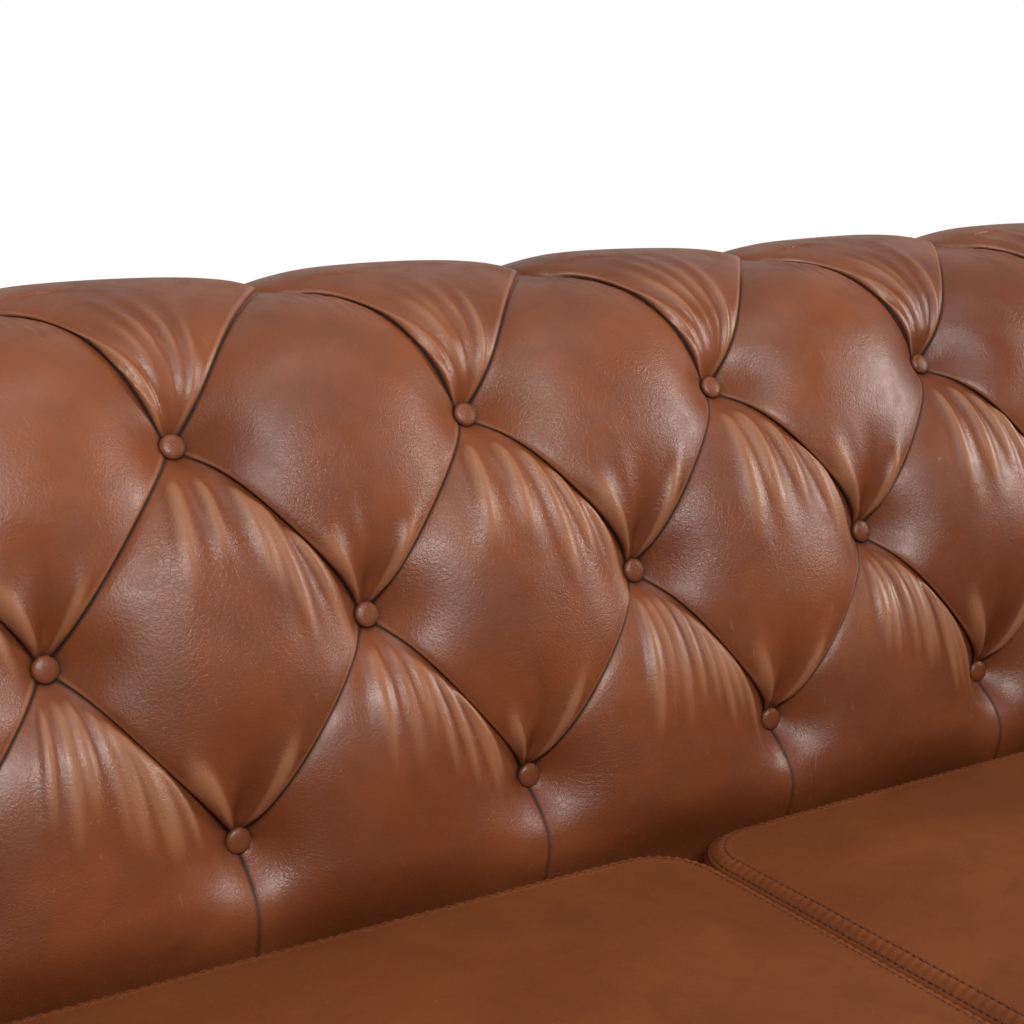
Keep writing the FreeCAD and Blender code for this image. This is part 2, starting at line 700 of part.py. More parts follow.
CUSHION_X0 = CUSHION_MIDDLE_GAP
CUSHION_X1 = HALF_SEAT - CUSHION_SIDE_GAP
CUSHION_Y0 = FOOT_Y - ARM_RUN - CUSHION_FRONT
CUSHION_Y1 = FOOT_Y - CUSHION_SIDE_GAP


def cushion_section(share, inset):
    """The closed outline across a cushion, at a share of its depth from the front."""
    y0, y1 = CUSHION_Y0 + inset, CUSHION_Y1 - inset
    y = y0 + (y1 - y0) * share
    swell = math.sin(math.pi * share)
    draw = SIDE_DRAW * swell
    x0, x1 = CUSHION_X0 + inset + draw, CUSHION_X1 - inset - draw
    z0, z1 = CUSHION_Z + inset, CUSHION_Z + BOXING_HEIGHT - inset
    crown = EDGE_CROWN + (CUSHION_CROWN - EDGE_CROWN) * swell ** 0.7
    middle = (x0 + x1) / 2
    half_z = (z0 + z1) / 2
    side = draw + SIDE_SWELL
    return Part.Wire([
        Part.makeLine(V(x1, y, z0), V(x0, y, z0)),
        Part.Arc(V(x0, y, z0), V(x0 - side, y, half_z), V(x0, y, z1)).toShape(),
        Part.Arc(V(x0, y, z1), V(middle, y, z1 + crown), V(x1, y, z1)).toShape(),
        Part.Arc(V(x1, y, z1), V(x1 + side, y, half_z), V(x1, y, z0)).toShape(),
    ])


def cushion_plan(inset):
    """An upright block with the cushion's rounded corners, seen from above."""
    grow = 2 * SIDE_SWELL - inset
    block = box(CUSHION_X0 - grow, CUSHION_X1 + grow, CUSHION_Y0 + inset, CUSHION_Y1 - inset,
                CUSHION_Z - BOXING_HEIGHT, CUSHION_Z + 2 * BOXING_HEIGHT)
    upright = [e for e in block.Edges if e.BoundBox.ZLength > BOXING_HEIGHT]
    return block.makeFillet(CUSHION_CORNER - inset, upright)


def cushion_solid(inset):
    shares = [0.0, 0.06, 0.2, 0.5, 0.8, 0.94, 1.0]
    loft = Part.makeLoft([cushion_section(s, inset) for s in shares], True, False)
    return loft.common(cushion_plan(inset))


def cushion_cover():
    return cushion_solid(0.0).cut(cushion_solid(LEATHER))


def cushion_core():
    return cushion_solid(LEATHER + CLEARANCE)


def cushion_zip():
    """The zip along the cushion's rear boxing, with its slider."""
    middle = (CUSHION_X0 + CUSHION_X1) / 2
    z = CUSHION_Z + BOXING_HEIGHT / 2
    y = CUSHION_Y1 + CLEARANCE / 3
    tape = box(middle - ZIP_LENGTH / 2, middle + ZIP_LENGTH / 2, y, y + ZIP_THICKNESS,
               z - ZIP_WIDTH / 2, z + ZIP_WIDTH / 2)
    slider_end = middle + ZIP_LENGTH / 2 - SLIDER_LENGTH
    slider = box(slider_end - SLIDER_LENGTH, slider_end, y + ZIP_THICKNESS / 2,
                 y + 2.5 * ZIP_THICKNESS, z - SLIDER_WIDTH / 2, z + SLIDER_WIDTH / 2)
    return tape.fuse(slider)


# Feet and fastenings


def foot(x, y):
    """A turned foot: a flat top, a rounded belly and a waisted ankle."""
    top, low = BASE_HEIGHT - DUST_COVER, GLIDE_HEIGHT
    height = top - low
    neck_z = low + FOOT_NECK_SHARE * height
    belly_z = low + FOOT_BELLY_SHARE * height
    shoulder_z = low + FOOT_SHOULDER_SHARE * height
    cap_z = shoulder_z + FOOT_CAP_FLARE
    bore = BOLT_RADIUS + HOLE_CLEARANCE
    bore_z = top - BOLT_IN_FOOT - BORE_SPARE
    profile = [
        Part.makeLine(V(0, 0, low), V(FOOT_BOTTOM_RADIUS, 0, low)),
        Part.makeLine(V(FOOT_BOTTOM_RADIUS, 0, low), V(FOOT_NECK_RADIUS, 0, neck_z)),
        Part.Arc(V(FOOT_NECK_RADIUS, 0, neck_z), V(FOOT_BELLY_RADIUS, 0, belly_z),
                 V(FOOT_SHOULDER_RADIUS, 0, shoulder_z)).toShape(),
        Part.makeLine(V(FOOT_SHOULDER_RADIUS, 0, shoulder_z), V(FOOT_TOP_RADIUS, 0, cap_z)),
        Part.makeLine(V(FOOT_TOP_RADIUS, 0, cap_z), V(FOOT_TOP_RADIUS, 0, top)),
        Part.makeLine(V(FOOT_TOP_RADIUS, 0, top), V(bore, 0, top)),
        Part.makeLine(V(bore, 0, top), V(bore, 0, bore_z)),
        Part.makeLine(V(bore, 0, bore_z), V(0, 0, bore_z)),
        Part.makeLine(V(0, 0, bore_z), V(0, 0, low)),
    ]
    solid = Part.Face(Part.Wire(profile)).revolve(V(0, 0, 0), V(0, 0, 1), 360)
    solid.translate(V(x, y, 0))
    return solid


def glide(x, y):
    return Part.makeCylinder(GLIDE_RADIUS, GLIDE_HEIGHT, V(x, y, 0))


def foot_bolt(x, y):
    low = BASE_HEIGHT - DUST_COVER - BOLT_IN_FOOT
    high = BASE_HEIGHT + BLOCK_HEIGHT - BOLT_SHORT
    return Part.makeCylinder(BOLT_RADIUS, high - low, V(x, y, low))


def tee_nut(x, y):
    """A flanged barrel in the block's bore, with the flange on top of the block."""
    top = BASE_HEIGHT + BLOCK_HEIGHT - NUT_FLANGE
    low = top - NUT_BARREL
    barrel = Part.makeCylinder(NUT_BARREL_RADIUS, NUT_BARREL, V(x, y, low))
    flange = Part.makeCylinder(NUT_FLANGE_RADIUS, NUT_FLANGE, V(x, y, top))
    bore = Part.makeCylinder(BOLT_RADIUS + HOLE_CLEARANCE, 2 * NUT_BARREL, V(x, y, low))
    return barrel.fuse(flange).cut(bore)


def dust_cover():
    """Black cloth under the base frame, cut out round the feet's bolts."""
    reach = FRAME_X - DUST_COVER_INSET
    low = BASE_HEIGHT - DUST_COVER
    sheet = box(-reach, reach, FRAME_FRONT_Y + DUST_COVER_INSET, FRAME_BACK_Y - DUST_COVER_INSET,
                low, BASE_HEIGHT)
    holes = [Part.makeCylinder(BOLT_RADIUS + BORE_SPARE, BLOCK_HEIGHT, V(x, y, low))
             for x, y in foot_places()]
    return sheet.cut(Part.makeCompound(holes))


# Outside panels


def outside_back_panel():
    return box(-(HALF_SEAT + PANEL_FACE_N), HALF_SEAT + PANEL_FACE_N,
               FOOT_Y + PANEL_N, FOOT_Y + PANEL_FACE_N,
               FACING_BOTTOM, RIB_SHOULDER_Z - 2 * CLEARANCE)


def outside_arm_panel():
    return box(HALF_SEAT + PANEL_N, HALF_SEAT + PANEL_FACE_N,
               FRAME_FRONT_Y, FOOT_Y + PANEL_N - CLEARANCE,
               FACING_BOTTOM, RIB_SHOULDER_Z - 2 * CLEARANCE)


# The whole sofa


def build():
    back_reach = HALF_SEAT + REAR_REACH + COVER_DEPTH
    arm_start = -(REAR_REACH + COVER_DEPTH)
    margin = BUTTON_SPACING / 4
    back_places = button_places(margin - HALF_SEAT, HALF_SEAT - margin)
    arm_places = button_places(margin, ARM_RUN - margin)
    parts = {}

    parts["inside_back_cover"] = as_back(
        cut_back(tufted_cover(-back_reach, back_reach, back_places)))
    parts["back_foam"] = as_back(cut_back(foam_slab(-back_reach, back_reach, back_places)))
    parts["back_roll_foam"] = as_back(
        cut_back(roll_foam(-back_reach, back_reach, back_places)))
    parts["back_buttons"] = as_back(Part.makeCompound([button(p) for p in back_places]))
    back_ties = as_back(Part.makeCompound([tie(p) for p in back_places]))
    arm_ties = as_right_arm(Part.makeCompound([tie(p) for p in arm_places]))
    parts["button_ties"] = Part.makeCompound([back_ties, arm_ties, mirrored(arm_ties)])
    strap_reach = HALF_SEAT + STRAP_PAST_CORNER
    parts["back_webbing"] = as_back(webbing(-strap_reach, strap_reach, back_places))

    back_ribs = [rib(step * SPRING_SPACING) for step in BACK_RIB_STEPS]
    parts["back_ribs"] = as_back(Part.makeCompound(back_ribs))
    rail_reach = HALF_SEAT + RIB_REAR_N
    parts["back_top_rail"] = as_back(top_rail(-rail_reach, rail_reach))

    arm_rib_places = [step * BUTTON_SPACING for step in ARM_RIB_STEPS]
    arm_rib_places.append(ARM_RUN - RIB_THICKNESS / 2)
    arm = {
        "inside_arm_cover": cut_arm(tufted_cover(arm_start, ARM_RUN, arm_places)),
        "arm_foam": cut_arm(foam_slab(arm_start, ARM_RUN, arm_places)),
        "arm_roll_foam": cut_arm(roll_foam(arm_start, ARM_RUN, arm_places)),
        "arm_buttons": Part.makeCompound([button(p) for p in arm_places]),
        "arm_webbing": webbing(-STRAP_PAST_CORNER, ARM_RUN - CLEARANCE, arm_places),
        "arm_ribs": Part.makeCompound([rib(u) for u in arm_rib_places]),
        "arm_top_rail": top_rail(-RIB_REAR_N + TOP_RAIL_THICKNESS + CLEARANCE, ARM_RUN),
        "arm_facing_board": facing_board(),
        "arm_facing_cover": facing_cover(),
        "facing_nails": facing_nails(),
    }
    for name, shape in arm.items():
        right = as_right_arm(shape)
        parts[name + "_right"] = right
        parts[name + "_left"] = mirrored(right)

    for name, shape in {
        "side_rail": side_rail(),
        "arm_inner_rail": arm_inner_rail(),
        "outside_arm_panel": outside_arm_panel(),
        "seat_cushion_cover": cushion_cover(),
        "seat_cushion_core": cushion_core(),
        "seat_cushion_zip": cushion_zip(),
    }.items():
        parts[name + "_right"] = shape
        parts[name + "_left"] = mirrored(shape)

    post = corner_post()
    parts["corner_posts"] = Part.makeCompound([post, mirrored(post)])
    parts["front_rail"] = front_rail()
    parts["rear_rail"] = rear_rail()
    parts["back_inner_rail"] = back_inner_rail()
    parts["centre_rail"] = centre_rail()
    parts["foot_blocks"] = foot_blocks()
    parts["seat_springs"] = seat_springs()
    parts["spring_clips"] = spring_clips()
    parts["deck_felt"] = deck_sheet(FELT_Z, FELT)
    parts["deck_foam"] = deck_sheet(FELT_Z + FELT, DECK_FOAM)
    parts["deck_cloth"] = deck_sheet(FELT_Z + FELT + DECK_FOAM, DECK_CLOTH)
    parts["front_border_pad"] = front_border_pad()
    parts["front_border_cover"] = front_border_cover()
    parts["outside_back_panel"] = outside_back_panel()
    parts["dust_cover"] = dust_cover()
    places = foot_places()
    parts["feet"] = Part.makeCompound([foot(*p) for p in places])
    parts["foot_glides"] = Part.makeCompound([glide(*p) for p in places])
    parts["foot_bolts"] = Part.makeCompound([foot_bolt(*p) for p in places])
    parts["foot_tee_nuts"] = Part.makeCompound([tee_nut(*p) for p in places])
    return parts


os.makedirs("parts", exist_ok=True)
for node, shape in build().items():
    shape.exportStep("parts/" + node + ".step")
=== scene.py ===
import json
import math

import bmesh
import bpy
import numpy as np
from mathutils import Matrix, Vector

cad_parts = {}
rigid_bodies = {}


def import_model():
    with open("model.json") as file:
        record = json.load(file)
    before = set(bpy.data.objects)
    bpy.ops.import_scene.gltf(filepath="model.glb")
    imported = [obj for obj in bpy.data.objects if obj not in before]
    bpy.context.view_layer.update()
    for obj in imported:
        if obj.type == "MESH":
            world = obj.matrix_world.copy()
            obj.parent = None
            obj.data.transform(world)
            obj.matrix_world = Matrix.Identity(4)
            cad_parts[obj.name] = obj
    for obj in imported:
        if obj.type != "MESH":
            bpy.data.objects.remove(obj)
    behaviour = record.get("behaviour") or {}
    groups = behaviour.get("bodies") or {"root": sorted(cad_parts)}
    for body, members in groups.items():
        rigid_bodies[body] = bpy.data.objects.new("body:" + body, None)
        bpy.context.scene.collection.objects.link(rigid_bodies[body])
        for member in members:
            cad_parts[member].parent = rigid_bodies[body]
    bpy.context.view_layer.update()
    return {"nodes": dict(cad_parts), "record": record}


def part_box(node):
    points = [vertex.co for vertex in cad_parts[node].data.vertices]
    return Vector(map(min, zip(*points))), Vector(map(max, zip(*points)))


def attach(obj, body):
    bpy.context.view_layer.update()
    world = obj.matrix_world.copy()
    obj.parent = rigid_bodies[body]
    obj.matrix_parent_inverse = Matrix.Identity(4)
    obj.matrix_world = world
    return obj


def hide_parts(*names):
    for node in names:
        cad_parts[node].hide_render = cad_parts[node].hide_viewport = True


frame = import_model()

# A three-seat chesterfield sofa in deep-buttoned brown leather. Lengths are in
# millimetres and are turned into metres when a mesh is made. The back and the
# arms are runs of one cross section: u goes along a run, v is the length along
# the section from the top of its upright stretch, and h is the height of the
# leather above the section's valley line.

MM = 0.001
RNG_SEED = 7

# Sizes shared with the solids

HALF_SEAT = 800.0
ARM_RUN = 605.0
FOOT_N = 3.0
RAKE_START_Z = 450.0
RAKE_RADIUS = 547.0
RAKE_TURN = 31.7
ROLL_RADIUS = 136.0
REAR_RADIUS = 84.0
ROW_STEP = 12.65
FOLD_TOP_TURN = -5.5           # where the folds end, against the top of the roll
CURL_END_TURN = 163.0          # past the top, where the cover meets the outside panel
BUTTON_SPACING = 200.0
HALF = BUTTON_SPACING / 2      # from one column of buttons to the next, a row higher
BUTTON_RADIUS = 8.0
BUTTON_DOME = 4.2              # height of a button above its rim
BUTTON_FACE = -8.5             # top of a button, against the valley line
FOAM_FACE = 22.3               # front of the foam, behind the valley line
FACING_SPREAD = 10.0
FACING_BOTTOM = 102.0
FACING_FACE_U = 630.3
NAIL_INSET = 11.0
PANEL_FACE_N = 223.97
PANEL_TOP_Z = 668.0
FOOT_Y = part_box("back_foam")[0][1] / MM - FOOT_N - FOAM_FACE
PADDING_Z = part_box("back_foam")[0][2] / MM

# The tufting

SAMPLES = 51                   # grid steps along a fold
GRID_BIAS = 0.68               # how much closer the grid lies beside a fold
FOLD_SAG = 0.5                 # bow of a fold that falls to the left, between its buttons
TOP_BOW = 27.0                 # upward bow, over the roll, of a fold that falls to the right
TOP_SIDE_BOW = 3.0             # the same, for a fold that falls to the left
POCKET_FLOOR = -14.0           # leather round a button
FOLD_FLOOR = 11.0              # bottom of a fold, midway between buttons
ROLL_FLOOR = 6.0               # the same on top of the roll
POCKET_START = 7.0             # distance from a button's middle at which its pocket begins
POCKET_REACH = 24.0            # and how gently it opens
PAD_CROWN = 15.0               # full pad above its folds
ROLL_CROWN = 12.0
LOWER_CROWN = 12.0
WIDE_EDGE = (0.42, 2.2, 17.0)  # share and reach of a pad's rounded edge, and reach of its swell
THIN_EDGE = (0.22, 1.6, 19.0)
TUCKED_EDGE = (0.0, 1.0, 25.0)
DOME_SHARE = 0.34              # how much of the crown is a slow dome
SEAM_REACH = 20.0              # how soon the folds fade below the bottom buttons
SEAM_DEPTH = 0.1               # what is left of them down to the seat
WIDE_LIP = 6.5                 # overhang of the pad above a fold that falls to the right
THIN_LIP = 1.8                 # the same, for a fold that falls to the left
CREASE_WIDTH = 1.5             # half width of the painted shade in a fold
RIM_INSET = 3.2                # painted highlight on the rim of a lip, behind the fold
RIM_WIDTH = 1.8
RIM_PAINTED_HIGHLIGHT = 2.4
RING_REACH = 3.5               # painted shade in a dark ring round a button
LIP_START = 2.2                # how soon behind the fold the overhang is full
LIP_REACH = 15.0               # how far from the fold the overhang is felt
# for a row of pads: count, nearest start, spread, height and width of the gathers below a button
GATHERS_BELOW = {0: (8, 12.0, 52.0, 3.6, 2.6), 1: (5, 22.0, 62.0, 4.4, 4.2)}
SWELL = 0.8                    # slow unevenness of a pad
CORNER_REACH = 320.0           # length of a run past its corner, before it is mitred
ARM_TAPER = 62.0               # length over which an arm thins to its facing
TURN_IN_Z = (425, 492)         # heights between which the leather turns in to the seat

# The camera, fitted to the photograph's button grid

CAMERA_LENS = 65.75
CAMERA_BUTTON_X = -1.5         # the button it was fitted from, in spacings from the middle
CAMERA_FROM_BUTTON = (-406.7, -1019.2, 212.7)
CAMERA_YAW = 32.17
CAMERA_PITCH = 13.23

# The studio

ROOM_LIGHT = 0.13
MIRRORED_BACKDROP = 0.4        # strength of the backdrop in reflections

# The cross section

RAKE_END = RAKE_RADIUS * math.radians(RAKE_TURN)
ROLL_N = FOOT_N + RAKE_RADIUS - (RAKE_RADIUS - ROLL_RADIUS) * math.cos(math.radians(RAKE_TURN))
ROLL_Z = RAKE_START_Z + (RAKE_RADIUS - ROLL_RADIUS) * math.sin(math.radians(RAKE_TURN))
REAR_Z = ROLL_Z + ROLL_RADIUS - REAR_RADIUS
ROW_V = [
    RAKE_RADIUS * math.radians(RAKE_TURN - 2 * ROW_STEP),
    RAKE_RADIUS * math.radians(RAKE_TURN - ROW_STEP),
    RAKE_END,
    RAKE_END + ROLL_RADIUS * math.radians(90 + FOLD_TOP_TURN - RAKE_TURN),
]
ROLL_END_V = RAKE_END + ROLL_RADIUS * math.radians(90 - RAKE_TURN)
CURL_END_V = ROLL_END_V + REAR_RADIUS * math.radians(CURL_END_TURN)
LOW_V = PADDING_Z - RAKE_START_Z
FOLD_SLOPE = (ROW_V[1] - ROW_V[0]) / HALF
FOLD_ANGLE = math.atan2(HALF, ROW_V[1] - ROW_V[0])
PAD_WIDTH = BUTTON_SPACING * math.cos(FOLD_ANGLE)


def section(v):
    """n, z and turn of the valley line at each length v, as arrays."""
    v = np.asarray(v, float)
    turn = np.where(
        v < RAKE_END, np.maximum(v, 0) / RAKE_RADIUS,
        np.where(v < ROLL_END_V, math.radians(RAKE_TURN) + (v - RAKE_END) / ROLL_RADIUS,
                 math.pi / 2 + (v - ROLL_END_V) / REAR_RADIUS))
    on_rake, on_roll = v < RAKE_END, v < ROLL_END_V
    centre_n = np.where(on_rake, FOOT_N + RAKE_RADIUS, ROLL_N)
    centre_z = np.where(on_rake, RAKE_START_Z, np.where(on_roll, ROLL_Z, REAR_Z))
    radius = np.where(on_rake, RAKE_RADIUS, np.where(on_roll, ROLL_RADIUS, REAR_RADIUS))
    n = centre_n - radius * np.cos(turn)
    z = centre_z + radius * np.sin(turn) + np.minimum(v, 0)
    return n, z, turn


def placed(u, v, h, along_u=0.0, along_v=0.0):
    """Points of a run as an (N, 3) array of u, n, z, after small shifts along the surface."""
    n, z, turn = section(v)
    n = n - h * np.cos(turn) + along_v * np.sin(turn)
    z = z + h * np.sin(turn) + along_v * np.cos(turn)
    return np.stack([u + along_u, n, z], axis=-1)


# Shapes used in the height of the leather


def smooth(x, low, high):
    t = np.clip((x - low) / (high - low), 0, 1)
    return t * t * (3 - 2 * t)


def between(x, low, high, end_low, end_high):
    """Rises to 1 from low to high, and falls again from end_low to end_high."""
    return smooth(x, low, high) * (1 - smooth(x, end_low, end_high))


def edge_rise(share, edge):
    """0 at a fold, 1 well inside the pad: a rounded edge, then a slow swell."""
    distance = np.maximum(share, 0) * PAD_WIDTH
    step, step_reach, reach = edge
    return 1 - step * np.exp(-distance / step_reach) - (1 - step) * np.exp(-distance / reach)


def pocket(u, v, button_u, button_v, reach=POCKET_REACH, power=1.15):
    """0 at a button, rising to 1 away from it."""
    rho = np.hypot(u - button_u, v - button_v)
    return 1 - np.exp(-(np.maximum(rho - POCKET_START, 0) / reach) ** power)


def ridge(offset, width):
    return np.exp(-(offset / width) ** 2)


def random_for(*key):
    return np.random.default_rng([RNG_SEED] + [int(k) + 5000 for k in key])


# Wrinkles


def gathers_below(u, v, top_u, top_v, rng, count, nearest, spread, height, width):
    """Ridges that come out from under the flap right of a button and run down the pad."""
    x = u - top_u
    y = top_v - v
    total = np.zeros_like(u)
    for k in range(count):
        share = (k + rng.uniform(-0.2, 0.2)) / (count - 1)
        start_x = spread * (share - 0.2)
        start_y = np.hypot(nearest, FOLD_SLOPE * max(start_x, 0.0)) + 2.0
        down = y - start_y
        follow = 0.55 * np.clip(share, 0, 1)
        lean = -0.12 + 0.40 * share + rng.uniform(-0.03, 0.03)
        path = start_x + lean * down + follow * 22.0 * (1 - np.exp(-np.maximum(down, 0) / 22.0))
        length = rng.uniform(75, 120)
        broad = (width + 0.032 * np.maximum(down, 0)) * rng.uniform(0.85, 1.2)
        fade = between(down, -6, 12, 0.35 * length, length)
        total += height * rng.uniform(0.7, 1.25) * fade * ridge(x - path, broad)
    return total


def above(u, v, low_u, low_v):
    """Across, up and straight away from a button, and a height of nothing to add to."""
    x = u - low_u
    y = np.maximum(v - low_v, 0)
    return x, y, np.hypot(x, y), np.zeros_like(u)


def gathers_over(u, v, low_u, low_v, rng):
    """Ridges that rise from a button over the roll, all curling to the left."""
    x, y, away, total = above(u, v, low_u, low_v)
    for lean in np.linspace(-0.62, 0.62, 7):
        lean = lean + rng.uniform(-0.04, 0.04)
        path = lean * y - 0.0042 * y * y
        length = rng.uniform(110, 150)
        broad = (2.0 + 0.030 * away) * rng.uniform(0.85, 1.15)
        fade = between(away, 8, 26, 0.3 * length, length)
        total += rng.uniform(3.0, 4.4) * fade * ridge(x - path, broad)
    hollow = between(away, 3, 22, 26, 75)
    return total - 3.4 * hollow * ridge(x - 0.05 * y, 6 + 0.2 * y)


def gathers_above(u, v, low_u, low_v, rng):
    """Two strong ridges that part above a button, a hollow and weaker ones between."""
    x, y, away, total = above(u, v, low_u, low_v)
    ridges = (-0.5, 6.0, 4.2), (0.5, 6.4, 3.8), (-0.2, 2.0, 2.6), (0.17, 1.6, 2.6)
    for lean, height, broad in ridges:
        lean = lean + rng.uniform(-0.05, 0.05)
        length = rng.uniform(68, 96)
        fade = between(away, 5, 20, 0.35 * length, length)
        wide = (broad + 0.045 * away) * rng.uniform(0.9, 1.15)
        total += height * rng.uniform(0.85, 1.15) * fade * ridge(x - lean * y, wide)
    hollow = between(away, 3, 22, 30, 90)
    return total - 5.0 * hollow * ridge(x, 6 + 0.2 * y)


def stripes_below_roll(u, v, a, b, rng):
    """Faint upright stripes under the flap where a pad runs up to the roll."""
    inside = (1 - a) * PAD_WIDTH
    near = between(inside, 2, 9, 16, 38)
    along = between(b, 0.08, 0.2, 0.45, 0.66)
    phase = rng.uniform(0, 6)
    return 0.75 * near * along * np.sin(2 * math.pi * (u + 0.28 * v) / 10.0 + phase)


# One run of tufting


class Skin:
    """Points, values and faces of a cover. A point that pads share is kept once, under its key."""

    def __init__(self):
        self.points, self.values, self.faces, self.ids = [], [], [], {}

    def vertex(self, key, point, value):
        if key not in self.ids:
            self.ids[key] = len(self.points)
            self.points.append(point)
            self.values.append(value)
        return self.ids[key]


class Run:
    """The tufted cover of the back or of one arm, as a mesh over rows of pads."""

    def __init__(self, start, end, taper_from=None):
        self.start = start
        self.end = end
        self.taper_from = taper_from

    def soft(self, u, h):
        """Draws the cover down to the facing at the front end of an arm."""
        if self.taper_from is None:
            return h
        share = smooth(u, self.taper_from, ARM_RUN - 2)
        return h + (FACING_SPREAD - 1.5 - h) * share

    def corner_product(self, u, v, column, row, reach):
        """0 at the buttons of the pad centred at (column, row), 1 away from them."""
        total = np.ones_like(u)
        corners = [(column - 1, row), (column + 1, row), (column, row - 1), (column, row + 1)]
        for col, r in corners:
            if 0 <= r <= 2:
                total = total * pocket(u, v, col * HALF, ROW_V[r], reach)
        return total

    def fold_floor(self, v):
        return FOLD_FLOOR + (ROLL_FLOOR - FOLD_FLOOR) * smooth(v, ROW_V[2] + 15, ROW_V[3])

    def raised(self, u, v, column, row, crown, fullness_and_painted_shade, gathers):
        """Height of the leather from its fullness, its crown and its gathers."""
        low = self.corner_product(u, v, column, row, POCKET_REACH)
        near = self.corner_product(u, v, column, row, 0.75 * POCKET_REACH)
        floor = POCKET_FLOOR + (self.fold_floor(v) - POCKET_FLOOR) * low
        rng = random_for(column, row, 11)
        swell = np.sin(u / 43.0 + 6 * rng.random()) * np.sin(v / 35.0 + 6 * rng.random())
        inside = smooth(fullness_and_painted_shade, 0.0, 0.22)
        plump = crown * rng.uniform(0.94, 1.06) * fullness_and_painted_shade * (0.25 + 0.75 * near)
        return floor + plump + inside * (gathers + SWELL * near * swell), inside * gathers

    def gathers(self, u, v, column, row):
        rng = random_for(column, row, 3)
        middle = column * HALF
        total = np.zeros_like(u)
        if row in GATHERS_BELOW:
            total = total + gathers_below(u, v, middle, ROW_V[row + 1], rng, *GATHERS_BELOW[row])
        if row == 3:
            total = total + gathers_over(u, v, middle, ROW_V[2], rng)
        elif row >= 1:
            total = total + gathers_above(u, v, middle, ROW_V[row - 1], rng)
        return total

    def pad(self, column, row, u, v, a, b):
        """Height, shifts along the surface, painted shade, and stretch with a painted rim highlight, of
        one pad's leather.
        """
        crown = LOWER_CROWN + (PAD_CROWN - LOWER_CROWN) * smooth(v, ROW_V[0], ROW_V[1])
        if row >= 2:
            crown = PAD_CROWN + (ROLL_CROWN - PAD_CROWN) * smooth(v, ROW_V[2], ROW_V[3])
        gathers = self.gathers(u, v, column, row)
        if row == 2:
            gathers = gathers + stripes_below_roll(u, v, a, b, random_for(column, row, 17))
        h, stretch = self.raised(u, v, column, row, crown, self.pad_fullness(row, a, b), gathers)
        kept = 1 - self.fold_end(row, a, b)
        wide = WIDE_LIP * self.lip(a, b) * kept if row >= 1 else 0 * u
        thin = THIN_LIP * self.lip(1 - b, a) if row >= 1 else 0 * u
        shift_u = (thin - wide) * math.cos(FOLD_ANGLE)
        shift_v = -(wide + thin) * math.sin(FOLD_ANGLE)
        beside = np.minimum(a, 1 - b) * PAD_WIDTH
        # Painted highlight: a paler band along the rim of each lip, added to the stretch value.
        rim = ridge(beside - RIM_INSET, RIM_WIDTH) * kept if row >= 1 else 0 * u
        # Painted shade in the folds and round the buttons.
        shade = self.painted_fold_shade(row, a, b) * self.painted_button_ring_shade(u, v, column, row)
        return h, shift_u, shift_v, shade, stretch + RIM_PAINTED_HIGHLIGHT * rim

    def painted_button_ring_shade(self, u, v, column, row):
        """Painted shade round a button: near 0 right beside it, 1 away from it."""
        return 0.12 + 0.88 * self.corner_product(u, v, column, row, RING_REACH)

    @staticmethod
    def fold_end(row, a, b):
        """1 where a fold that falls to the right dies out on top of the roll, 0 elsewhere."""
        if row < 2:
            return 0 * a
        beside = smooth(a, 0.45, 0.9) if row == 2 else 1 - smooth(a, 0.1, 0.55)
        return beside * (1 - smooth(b, 0.06, 0.36))

    def painted_fold_shade(self, row, a, b):
        """Painted shade: 0 down in a fold or beside a button, where the leather is darkened, 1 on the
        open leather.
        """
        edges = {0: (1 - a, b), 3: (a, 1 - b)}.get(row, (a, 1 - a, b, 1 - b))
        nearest = np.minimum.reduce(edges) * PAD_WIDTH
        crease_shade = np.exp(-(nearest / CREASE_WIDTH) ** 2)
        return 1 - crease_shade * (1 - self.fold_end(row, a, b))

    def pad_fullness(self, row, a, b):
        """0 in the folds round a pad, 1 in its middle."""
        upper = edge_rise(1 - a, TUCKED_EDGE) * edge_rise(b, TUCKED_EDGE)
        lower = edge_rise(a, WIDE_EDGE) * edge_rise(1 - b, THIN_EDGE)
        if row == 0:
            edges, dome = upper, 4 * (1 - a) * b
        elif row == 3:
            edges, dome = lower, 4 * a * (1 - b)
        else:
            edges, dome = upper * lower, 16 * a * (1 - a) * b * (1 - b)
        dome_share = DOME_SHARE + (0.94 - DOME_SHARE) * self.fold_end(row, a, b)
        return (1 - dome_share) * edges + dome_share * np.maximum(dome, 0) ** 0.6

    @staticmethod
    def lip(across, along):
        x = across * PAD_WIDTH
        ends = np.clip(np.sin(math.pi * np.clip(along, 0, 1)), 0, 1) ** 0.8
        return (1 - np.exp(-x / LIP_START)) * np.exp(-(x / LIP_REACH) ** 2) * ends

    @staticmethod
    def bow(value, a, b):
        """How far the grid is pushed up between the buttons, so that the folds bow."""
        falls_right = np.sin(math.pi * b) ** 2 * np.cos(math.pi * a) ** 2
        falls_left = np.sin(math.pi * a) ** 2 * np.cos(math.pi * b) ** 2
        over_roll = smooth(value, 2.0, 2.4)
        sag = FOLD_SAG + (TOP_SIDE_BOW - FOLD_SAG) * over_roll
        ends = between(value, 0, 0.3, 2.85, 3.0)
        return (TOP_BOW * over_roll * falls_right + sag * falls_left) * ends

